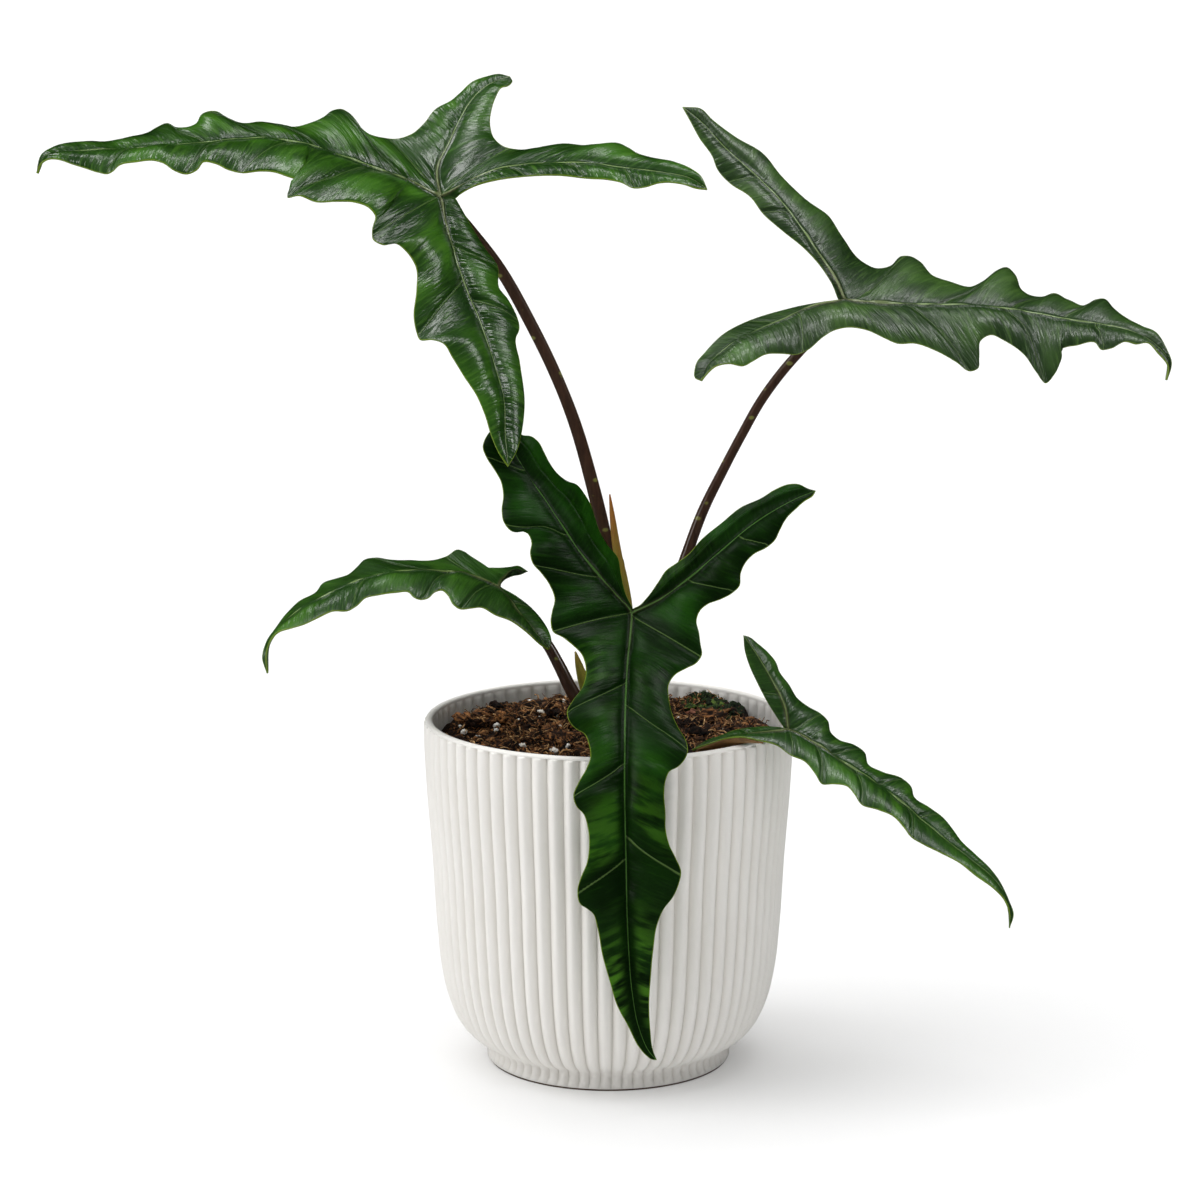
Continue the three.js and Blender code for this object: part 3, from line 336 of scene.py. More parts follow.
# Potting mix: peat and fine bark fills the pot to just below the lip, lumpy and a little higher at
# the back, with one dip at the right. It is one closed body, crumbly on top and plain below.
SOIL_LEVEL = 134
SOIL_MOUND = 3
SOIL_RISE_TO_BACK = 0.03
MOSS_HUMP = 4
MOSS_AT = (47, 44)
MOSS_WIDTH = 12
SOIL_LUMPS = ((0.9, 0.31, -0.27, 1.3), (0.7, 0.53, -0.41, 0), (0.5, 0.2, 0.77, 1.6))
SOIL_RADIUS = POT_RADIUS - POT_WALL - 0.3
SOIL_RINGS = 74
SOIL_SIDES = 260
DIP = 3.2
DIP_AT = (60, 34)
DIP_WIDTH = 10
CLODS = ((11, 2.2), (5, 1.3), (2.1, 0.6))
WALL_FALL = 2.2
FALL_START = 0.93
MIX_BELOW = ((SOIL_RADIUS - 0.2, 120), (65.8, 60), (62.3, 33), (54.3, 15), (43.3, POT_FLOOR + 0.3))


def soil_height(x, y):
    outwards = min(1, math.hypot(x, y) / (POT_RADIUS - POT_WALL))
    height = SOIL_LEVEL + SOIL_MOUND * math.cos(math.pi / 2 * outwards) + y * SOIL_RISE_TO_BACK
    height += MOSS_HUMP * math.exp(-(math.dist((x, y), MOSS_AT) / MOSS_WIDTH) ** 2 / 2)
    for lump, along_x, along_y, start in SOIL_LUMPS:
        height += lump * math.sin(x * along_x + y * along_y + start)
    return height


def crumbly(x, y):
    """The mix's real top: the mound with clods and pits, falling off a little at the pot's wall."""
    height = soil_height(x, y)
    for size, depth in CLODS:
        height += depth * noise.noise(Vector((x / size, y / size, size)))
    height -= DIP * math.exp(-(math.dist((x, y), DIP_AT) / DIP_WIDTH) ** 2)
    outwards = math.hypot(x, y) / SOIL_RADIUS
    return height - WALL_FALL * max(0, (outwards - FALL_START) / (1 - FALL_START)) ** 1.5


points, faces = [], []
for ring in range(SOIL_RINGS + 1):
    radius = SOIL_RADIUS * ring / SOIL_RINGS
    for side in range(SOIL_SIDES):
        angle = math.tau * side / SOIL_SIDES
        x, y = radius * math.cos(angle), radius * math.sin(angle)
        points.append((x, y, crumbly(x, y)))
for radius, z in MIX_BELOW:
    for side in range(SOIL_SIDES):
        angle = math.tau * side / SOIL_SIDES
        points.append((radius * math.cos(angle), radius * math.sin(angle), z))
all_rings = SOIL_RINGS + 1 + len(MIX_BELOW)
for ring in range(all_rings - 1):
    for side in range(SOIL_SIDES):
        a, b = ring * SOIL_SIDES + side, ring * SOIL_SIDES + (side + 1) % SOIL_SIDES
        faces.append((a, a + SOIL_SIDES, b + SOIL_SIDES, b))
faces.append([(all_rings - 1) * SOIL_SIDES + side for side in range(SOIL_SIDES)][::-1])

# Peat and composted bark: dark, dull and broken up, with lighter dry bits
peat, tree, shader = new_material("peat_and_composted_bark", 0.95, 1.4)
where = add(tree, "ShaderNodeTexCoord").outputs["Object"]
bits = add(tree, "ShaderNodeTexNoise", {"Vector": where, "Scale": 650, "Detail": 6, "Roughness": 0.7})
ramp = add(tree, "ShaderNodeValToRGB", {0: bits})
stops = ramp.color_ramp.elements
stops[0].position = 0.4
stops[0].color = linear("#080300")
stops[1].position = 0.7
stops[1].color = linear("#432710")
stops.new(0.55).color = linear("#1e0f04")
tree.links.new(ramp.outputs[0], shader.inputs["Base Color"])
bump = add(tree, "ShaderNodeBump", {"Height": bits, "Strength": 1.0, "Distance": 1.2 * MM})
tree.links.new(bump.outputs[0], shader.inputs["Normal"])

soil_mesh = mesh_from("potting_mix", points, faces)
soil_mesh.materials.append(peat)
soil_mesh.validate()
soil = place("potting_mix", soil_mesh)
weld = soil.modifiers.new("weld", "WELD")
weld.merge_threshold = 0.01 * MM
soil.data = bpy.data.meshes.new_from_object(soil.evaluated_get(bpy.context.evaluated_depsgraph_get()))
soil.modifiers.clear()
soil.data.name = "potting_mix"
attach(soil, "root")
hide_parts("soil")


# What lies loose on the mix: clods and crumbs of peat, slivers and chips of bark, coir fibres, grains
# of white perlite, and a tuft of moss at the back. Each kind is strewn over the top by the same
# tree, from one small shape of its kind that is turned and sized at random.
def top_patch(name, spacing, keep):
    """The top of the mix as an open sheet to strew over, kept where the rule says."""
    steps = int(2 * SOIL_RADIUS / spacing)
    points, faces, number = [], [], {}
    for i in range(steps + 1):
        for j in range(steps + 1):
            x, y = -SOIL_RADIUS + i * spacing, -SOIL_RADIUS + j * spacing
            if keep(x, y):
                number[i, j] = len(points)
                points.append((x, y, crumbly(x, y)))
    for i, j in number:
        corners = [(i, j), (i + 1, j), (i + 1, j + 1), (i, j + 1)]
        if all(c in number for c in corners):
            faces.append([number[c] for c in corners])
    return mesh_from(name, points, faces)


scattered = bpy.data.node_groups.new("strewn_on_top", "GeometryNodeTree")
for label, kind in (("Top", "NodeSocketGeometry"), ("Bit", "NodeSocketObject"),
                    ("Set by hand", "NodeSocketBool"), ("Per square metre", "NodeSocketFloat"),
                    ("Smallest", "NodeSocketFloat"), ("Largest", "NodeSocketFloat"),
                    ("Tilt", "NodeSocketFloat"), ("Seed", "NodeSocketInt"),
                    ("Stuff", "NodeSocketMaterial")):
    scattered.interface.new_socket(label, in_out="INPUT", socket_type=kind)
scattered.interface.new_socket("Bits", in_out="OUTPUT", socket_type="NodeSocketGeometry")
given = add(scattered, "NodeGroupInput").outputs
spots = add(scattered, "GeometryNodeDistributePointsOnFaces", {
    "Mesh": given["Top"], "Density": given["Per square metre"], "Seed": given["Seed"]})
by_hand = add(scattered, "GeometryNodeMeshToPoints", {"Mesh": given["Top"]})
spots = add(scattered, "GeometryNodeSwitch", {
    "Switch": given["Set by hand"], "False": spots, "True": by_hand})
bit = add(scattered, "GeometryNodeObjectInfo", {"Object": given["Bit"]})
# Each bit keeps its own places, so that its grain runs along it however it lies
with_places = add(scattered, "GeometryNodeStoreNamedAttribute", {
    "Geometry": bit.outputs["Geometry"], "Name": "bit_place",
    "Value": add(scattered, "GeometryNodeInputPosition")}, data_type="FLOAT_VECTOR")
size = add(scattered, "FunctionNodeRandomValue", {
    "Min": given["Smallest"], "Max": given["Largest"], "Seed": given["Seed"]}, data_type="FLOAT")
tilt = add(scattered, "ShaderNodeMath", {0: given["Tilt"], 1: -1}, operation="MULTIPLY")
lowest = add(scattered, "ShaderNodeCombineXYZ", {0: tilt, 1: tilt, 2: 0.0})
highest = add(scattered, "ShaderNodeCombineXYZ", {0: given["Tilt"], 1: given["Tilt"], 2: math.tau})
turned_by = add(scattered, "FunctionNodeRandomValue", {
    "Min": lowest, "Max": highest, "Seed": 3}, data_type="FLOAT_VECTOR")
laid = add(scattered, "GeometryNodeInstanceOnPoints", {
    "Points": spots, "Instance": with_places, "Rotation": turned_by, "Scale": size})
tone = add(scattered, "FunctionNodeRandomValue", {"Seed": 11}, data_type="FLOAT")
toned = add(scattered, "GeometryNodeStoreNamedAttribute", {
    "Geometry": laid, "Name": "bit_tone", "Value": tone}, data_type="FLOAT", domain="INSTANCE")
real = add(scattered, "GeometryNodeRealizeInstances", {0: toned})
made = add(scattered, "GeometryNodeSetMaterial", {0: real, "Material": given["Stuff"]})
add(scattered, "NodeGroupOutput", {0: made})


def lump_shape(name, sizes, roughness, seed, rounds=1):
    """A small irregular lump, a few dozen faces to a round, sizes in millimetres."""
    shape = bmesh.new()
    bmesh.ops.create_icosphere(shape, subdivisions=rounds, radius=1)
    for v in shape.verts:
        swell = noise.noise(v.co * 1.7 + Vector((seed, 0, 0))) + 0.45 * noise.noise(v.co * 4.5)
        v.co *= 1 + roughness * swell
        v.co = Vector([c * s * MM / 2 for c, s in zip(v.co, sizes)])
    for face in shape.faces:
        face.smooth = True
    mesh = bpy.data.meshes.new(name)
    shape.to_mesh(mesh)
    shape.free()
    return mesh


def strand_shape(name, length, thick, bend, curl, seed, joints=7):
    """A bent fibre lying along X: three-sided, thinner to both ends."""
    middle = []
    for n in range(joints + 1):
        t = n / joints
        swing = noise.noise(Vector((t * 2.2, seed, 1))) * bend
        lift = noise.noise(Vector((t * 2.2, seed, 5))) * curl
        middle.append(Vector((length * (t - 0.5), swing, lift)))
    points, faces = [], []
    for n, place_on in enumerate(middle):
        ahead = (middle[min(n + 1, joints)] - middle[max(n - 1, 0)]).normalized()
        side = ahead.cross(Vector((0, 0, 1))).normalized()
        rise = side.cross(ahead)
        r = thick / 2 * (0.35 + 0.65 * math.sin(math.pi * (n + 0.5) / (joints + 1)))
        for corner in range(3):
            angle = math.tau * corner / 3
            points.append(place_on + side * r * math.cos(angle) + rise * r * math.sin(angle))
        if n:
            for corner in range(3):
                a, b = 3 * (n - 1) + corner, 3 * (n - 1) + (corner + 1) % 3
                faces.append((a, b, b + 3, a + 3))
    faces.append((2, 1, 0))
    faces.append((3 * joints, 3 * joints + 1, 3 * joints + 2))
    return mesh_from(name, points, faces)


def bit_material(name, roughness, shades, depth):
    """Colour from each bit's own tone and from the grain that runs along it."""
    material, tree, shader = new_material(name, roughness)
    tone = add(tree, "ShaderNodeAttribute", attribute_name="bit_tone").outputs["Fac"]
    own = add(tree, "ShaderNodeAttribute", attribute_name="bit_place").outputs["Vector"]
    apart = add(tree, "ShaderNodeMath", {0: tone, 1: 9}, operation="MULTIPLY")
    apart = add(tree, "ShaderNodeCombineXYZ", {0: apart})
    along = add(tree, "ShaderNodeMapping", {0: own, 1: apart, 3: (260, 1300, 1300)})
    grain = add(tree, "ShaderNodeTexNoise", {"Vector": along, "Scale": 1.0, "Detail": 4})
    shade = add(tree, "ShaderNodeMath", {0: tone, 1: 0.6, 2: -0.95}, operation="MULTIPLY_ADD")
    shade = add(tree, "ShaderNodeMath", {0: grain, 1: 2.2, 2: shade}, operation="MULTIPLY_ADD")
    ramp = add(tree, "ShaderNodeValToRGB", {0: shade})
    dark, middle, light = shades
    stops = ramp.color_ramp.elements
    stops[0].position = 0.1
    stops[0].color = linear(dark)
    stops[1].position = 0.9
    stops[1].color = linear(light)
    stops.new(0.5).color = linear(middle)
    tree.links.new(ramp.outputs[0], shader.inputs["Base Color"])
    bump = add(tree, "ShaderNodeBump", {"Height": grain, "Distance": depth * MM})
    tree.links.new(bump.outputs[0], shader.inputs["Normal"])
    return material


# Grains of perlite that show by themselves near the front of the pot, the patch of moss, and where
# the large dry chips lie
PERLITE_AT = ((-42.4, -21.3), (-34.3, -23.2), (-58.6, -3.5), (-52.4, -6.4), (-45.6, 9.8), (-32.7, 48.5),
              (-21.7, -33.8), (-27.9, 30.9))
PERLITE_LIFT = 0.6
MOSS_MIDDLE = (43, 37)
MOSS_REACH = (12, 17)
CHIPS_AT = (((31, 27), 6), ((32, 1), 8))
KEPT_OFF_WALL = 5


def clear_of_wall(x, y):
    return math.hypot(x, y) < SOIL_RADIUS - KEPT_OFF_WALL


def on_moss(x, y):
    spread = math.hypot((x - MOSS_MIDDLE[0]) / MOSS_REACH[0], (y - MOSS_MIDDLE[1]) / MOSS_REACH[1])
    return clear_of_wall(x, y) and spread < 1 + 0.5 * noise.noise(Vector((x / 6, y / 6, 2)))


def chip_spot(x, y):
    return any(math.dist((x, y), middle) < reach for middle, reach in CHIPS_AT)


# Weathered peat, fibrous brown bark, dry reddish bark, tan coir, expanded white perlite, and moss
peat_lump = bit_material("peat_lump", 0.95, ("#060200", "#2d1708", "#9c683a"), 0.5)
bark = bit_material("composted_pine_bark", 0.85, ("#120702", "#4d2d13", "#a87646"), 0.5)
dry_bark = bit_material("dry_pine_bark", 0.85, ("#3a1c10", "#74452f", "#9e6a4e"), 0.4)
coir = bit_material("coir_fibre", 0.8, ("#281504", "#85572a", "#dcb27c"), 0.1)
perlite = bit_material("expanded_perlite", 0.9, ("#e2dccf", "#f2eee6", "#fdfbf7"), 0.2)
moss = bit_material("cushion_moss", 0.9, ("#0a1304", "#1f3510", "#5c7426"), 0.3)

everywhere = top_patch("top_everywhere", 2.5, clear_of_wall)
mossy = top_patch("top_mossy", 1.5, on_moss)
chip_spots = top_patch("top_with_chips", 1.5, chip_spot)
grain_spots = [(x, y, crumbly(x, y) + PERLITE_LIFT) for x, y in PERLITE_AT]
hand_spots = mesh_from("perlite_spots", grain_spots, [])

# Each kind's name, where it lies, its shape, how many fall on a square metre (none where they are set
# one by one), the smallest and largest size, how far it leans, its seed, and what it is made of
STREWN = (
    ("peat_clods", everywhere, lump_shape("clod", (8, 6, 3.6), 0.8, 4, 3),
     6200, 0.6, 1.4, 0.4, 22, peat_lump),
    ("peat_crumbs", everywhere, lump_shape("crumb", (2.2, 1.4, 1.0), 0.9, 1),
     260000, 0.5, 1.5, 3.1, 1, peat_lump),
    ("bark_slivers", everywhere, lump_shape("sliver", (9, 2.6, 1.5), 0.8, 9, 2),
     9000, 0.5, 1.4, 0.4, 7, bark),
    ("bark_bits", everywhere, lump_shape("bark_bit", (4.4, 2.6, 1.6), 0.8, 6, 2),
     14000, 0.6, 1.7, 0.6, 2, bark),
    ("bark_chips", chip_spots, lump_shape("chip", (10, 7, 2.8), 0.6, 12, 3),
     26000, 0.7, 1.0, 0.35, 9, dry_bark),
    ("coir_long", everywhere, strand_shape("long", 15, 0.75, 8, 3, 3),
     30000, 0.5, 1.2, 0.3, 4, coir),
    ("coir_short", everywhere, strand_shape("short", 8, 0.36, 5, 3, 8),
     70000, 0.5, 1.2, 0.55, 5, coir),
    ("coir_curled", everywhere, strand_shape("curled", 10, 0.7, 12, 4, 14),
     26000, 0.5, 1.1, 0.4, 6, coir),
    ("perlite", everywhere, lump_shape("grain", (1.7, 1.4, 1.2), 0.6, 3, 2),
     4200, 0.4, 1.8, 3.1, 15, perlite),
    ("perlite_large", hand_spots, lump_shape("large", (3.4, 2.8, 2.6), 0.5, 8, 3),
     0, 0.75, 1.2, 0.6, 16, perlite),
    ("moss_cushions", mossy, lump_shape("cushion", (7, 5, 3.6), 0.9, 5, 3),
     42000, 0.6, 1.3, 0.5, 12, moss),
    ("moss_tufts", mossy, strand_shape("tuft", 4, 0.5, 2, 2, 6, 4),
     1100000, 0.5, 1.2, 1.2, 13, moss),
)
for name, top, shape, density, smallest, largest, lean, seed, stuff in STREWN:
    bit_object = place(name + "_bit", shape)
    piece = grow(name, scattered, {
        "Bit": bit_object, "Set by hand": density == 0, "Per square metre": density,
        "Smallest": smallest, "Largest": largest, "Tilt": lean, "Seed": seed, "Stuff": stuff}, top.copy())
    bpy.data.objects.remove(bit_object)
    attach(piece, "root")


# Crown and stalks: the stalks spring from a knobby corky crown in the middle of the mix, each with
# its foot wrapped round the next. They are round, firm and smooth, brown-purple with green flecks.
ROOT_DEPTH = 124
CROWN_AT = (5.5, 0)
CROWN_RADIUS = 6.5
CROWN_TOP = 141
STALK_SIDES = 24
STALK_STEP = 1.6
STALK_TAPER_END = 0.625
TIP_LENGTH = 5
CROWN_SIDES = 40
CROWN_STEPS = 36
SCAR_DEPTH = 0.06
STALKS = {
    "upper_left": dict(radii=(3.6, 2.4), path=[
        (8, 8, ROOT_DEPTH), (7, 8, 142), (4.5, 7.5, 170), (2, 6.5, 194), (-1, 6, 212.5),
        (-7, 7, 238.5), (-14, 8, 262.5), (-22, 9, 282.5), (-30.5, 9.5, 300), (-45, 9, 325.5),
        (-55, 7, 338.5), (-61.5, 4, 346.5), (-67, 0.5, 352)]),
    "upper_right": dict(radii=(3.1, 1.9), path=[
        (15, 4, ROOT_DEPTH), (17, 4, 145), (21.5, 4, 171), (26, 4, 191), (31.5, 4, 208), (38, 4, 226),
        (46.2, 4, 243), (53.7, 4, 257.5), (61.2, 4, 271), (69.8, 3.5, 283), (78, 3, 292.5),
        (86.7, 2, 302), (94, 0.5, 310)]),
    "front": dict(radii=(3.2, 2.3), path=[
        (8, -9, ROOT_DEPTH), (8.5, -11.5, 142), (9, -17, 160), (9.5, -24, 175), (9.5, -33, 187),
        (9.5, -41.5, 193.5)]),
    "lower_left": dict(radii=(3.4, 2.2), path=[
        (-4.5, -1, ROOT_DEPTH), (-5.5, -1.5, 135), (-8.5, -2, 143), (-14.5, -3, 153), (-19.5, -2, 163),
        (-24, 0, 171), (-31.5, 2, 180.5), (-38, 1, 188.5), (-45, -4, 195)]),
    "lower_right": dict(radii=(2.4, 1.9), path=[
        (14, -7.5, ROOT_DEPTH), (24, -14, 129), (35, -21.5, 134), (46, -30, 139), (59.5, -41, 144.9),
        (66, -44.5, 146.2), (70.5, -46, 146.5)]),
}


def running(line):
    """How far along the line each of its places lies."""
    return np.concatenate([[0], np.cumsum(np.linalg.norm(np.diff(line, axis=0), axis=1))])


def grow_round(name, middle, radii, sides, shape_at=None):
    """A round closed stem along its middle line. Its rings don't twist."""
    middle = np.array(middle, float)
    ahead = np.gradient(middle, axis=0)
    ahead /= np.linalg.norm(ahead, axis=1)[:, None]
    side = np.cross(ahead[0], (0.3, 1, 0.2))
    rows = []
    for n, forward in enumerate(ahead):
        side = side - forward * np.dot(side, forward)
        side /= np.linalg.norm(side)
        other = np.cross(forward, side)
        ring = []
        for corner in range(sides):
            angle = math.tau * corner / sides
            r = radii[n] * (shape_at(n / (len(middle) - 1), angle) if shape_at else 1)
            ring.append(middle[n] + side * r * math.cos(angle) + other * r * math.sin(angle))
        rows.append(ring)
    points = [p for ring in rows for p in ring] + [middle[0], middle[-1]]
    faces = []
    for n in range(len(rows) - 1):
        for corner in range(sides):
            a, b = n * sides + corner, n * sides + (corner + 1) % sides
            faces.append((a, b, b + sides, a + sides))
    last = (len(rows) - 1) * sides
    for corner in range(sides):
        after = (corner + 1) % sides
        faces.append((after, corner, len(points) - 2))
        faces.append((last + corner, last + after, len(points) - 1))
    return place(name, mesh_from(name, points, faces))


# Skin of a living stalk: waxy and smooth, brown-purple streaked along its run, with yellow-green
# flecks where the purple is thin
stalk_skin, tree, shader = new_material("waxy_stalk_skin", 0.3, 1.42, Coat_Weight=0.8,
                                        Coat_Roughness=0.22)
where = add(tree, "ShaderNodeTexCoord").outputs["Object"]
drawn_out = add(tree, "ShaderNodeMapping", {0: where, 3: (900, 900, 130)})
streak = add(tree, "ShaderNodeTexNoise", {"Vector": drawn_out, "Scale": 1.0, "Detail": 4})
skin_tint = add(tree, "ShaderNodeMix", {0: streak, 6: linear("#23150f"), 7: linear("#553a2a")},
                data_type="RGBA")
fleck_place = add(tree, "ShaderNodeMapping", {0: where, 3: (130, 130, 200)})
fleck = add(tree, "ShaderNodeTexVoronoi", {"Vector": fleck_place, "Scale": 1.0})
fleck_here = add(tree, "ShaderNodeMapRange", {0: fleck, 1: 0.2, 2: 0.12})
with_flecks = add(tree, "ShaderNodeMix", {0: fleck_here, 6: skin_tint, 7: linear("#7c7c3c")},
                  data_type="RGBA")
tree.links.new(with_flecks.outputs[2], shader.inputs["Base Color"])
bump = add(tree, "ShaderNodeBump", {"Height": streak, "Strength": 0.5, "Distance": 0.2 * MM})
tree.links.new(bump.outputs[0], shader.inputs["Normal"])

for leaf_name, stalk in STALKS.items():
    foot, top = stalk["radii"]
    middle = smooth_line(stalk["path"], STALK_STEP)
    share = np.linspace(0, 1, len(middle))
    left = running(middle)[-1] * (1 - share)
    radii = foot + (top - foot) * np.minimum(1, share / STALK_TAPER_END)
    radii *= np.sqrt(np.clip(left / TIP_LENGTH, 0.02, 1))
    piece = grow_round("stalk_skin_" + leaf_name, middle, radii, STALK_SIDES)
    piece.data.materials.append(stalk_skin)
    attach(piece, "root")
    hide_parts("stalk_" + leaf_name)

# Corky bark of the crown, ringed with old leaf scars
cork, tree, shader = new_material("corky_crown_bark", 0.85, 1.4)
where = add(tree, "ShaderNodeTexCoord").outputs["Object"]
rough_bark = add(tree, "ShaderNodeTexNoise", {"Vector": where, "Scale": 420, "Detail": 5})
cork_tint = add(tree, "ShaderNodeMix", {0: rough_bark, 6: linear("#2b1c10"), 7: linear("#7b5d3a")},
                data_type="RGBA")
tree.links.new(cork_tint.outputs[2], shader.inputs["Base Color"])
bump = add(tree, "ShaderNodeBump", {"Height": rough_bark, "Distance": 0.8 * MM})
tree.links.new(bump.outputs[0], shader.inputs["Normal"])


def crown_swell(t, angle):
    scar = SCAR_DEPTH * math.cos(t * 34 + 0.5 * math.sin(angle))
    return 1 + scar + 0.12 * noise.noise(Vector((math.cos(angle) * 1.4, math.sin(angle) * 1.4, t * 4)))


share = np.linspace(0, 1, CROWN_STEPS + 1)
crown_line = [(*CROWN_AT, z) for z in ROOT_DEPTH - 2 + (CROWN_TOP - ROOT_DEPTH + 2) * share]
crown_radii = (CROWN_RADIUS - 0.8) * np.sqrt(np.clip(np.minimum(share * 12, (1 - share) * 3.4), 0.004, 1))
crown = grow_round("crown_bark", crown_line, crown_radii, CROWN_SIDES, crown_swell)
crown.data.materials.append(cork)
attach(crown, "root")
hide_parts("crown")


# Leaf blades: tough, glossy and thin, arrow-shaped with two back lobes, each lobe on its own main
# vein. The side veins are sunk, the blade puckers up between them, and the edge waves from crest to
# bay. Each field between two main veins is grown from its veins out to its piece of the edge.
EDGE_STEP = 0.9
VEIN_STEP = 1.2
HALF_AT_JUNCTION = 1.1
HALF_AT_VEIN_TIP = 0.4
HALF_BETWEEN = 0.36
HALF_AT_EDGE = 0.28
FULL_SWELL_WIDTH = 16
SPINE_REACH = 12
NEAR_VEIN = (0.35, 0.7, 1.15, 1.7, 2.5)
NEAR_EDGE = (0.3, 0.9, 2.0)
BETWEEN_COLUMNS = 11
VEIN_LEAN = 0.6
VEINLET_LEAN = 0.3
VEIN_BOW = -0.2
PUCKER = 1.3
PUCKER_PER_WIDTH = 0.045
RIDGE = 0.6
RIDGE_WIDTH = 0.75
GROOVE = 0.35
GROOVE_AT = 1.6
GROOVE_WIDTH = 0.7
STAND_UP_REACH = 3
CREST = 0.9
CREST_FULL_WIDTH = 8
FOLD_HEIGHT = 0.9
FOLD_ALONG = 8
FOLD_OUT = 16
FOLD_FULL_WIDTH = 12
BELOW_VEIN = 0.9
BROWN_REACH = 22
CRESTS_APART = 9
LEAST_WAVE = 0.35
NARROWEST_WITH_VEINS = 5
GRAIN_APART = 400
VEINS_APART = 40
ROWS_TO_FULL_SWELL = 12
# What the thin rim tells the surface: it lies right at the edge and far from any vein
RIM_MARK = (0, 99, 0, 0.5, 60, 0, 0, 0)

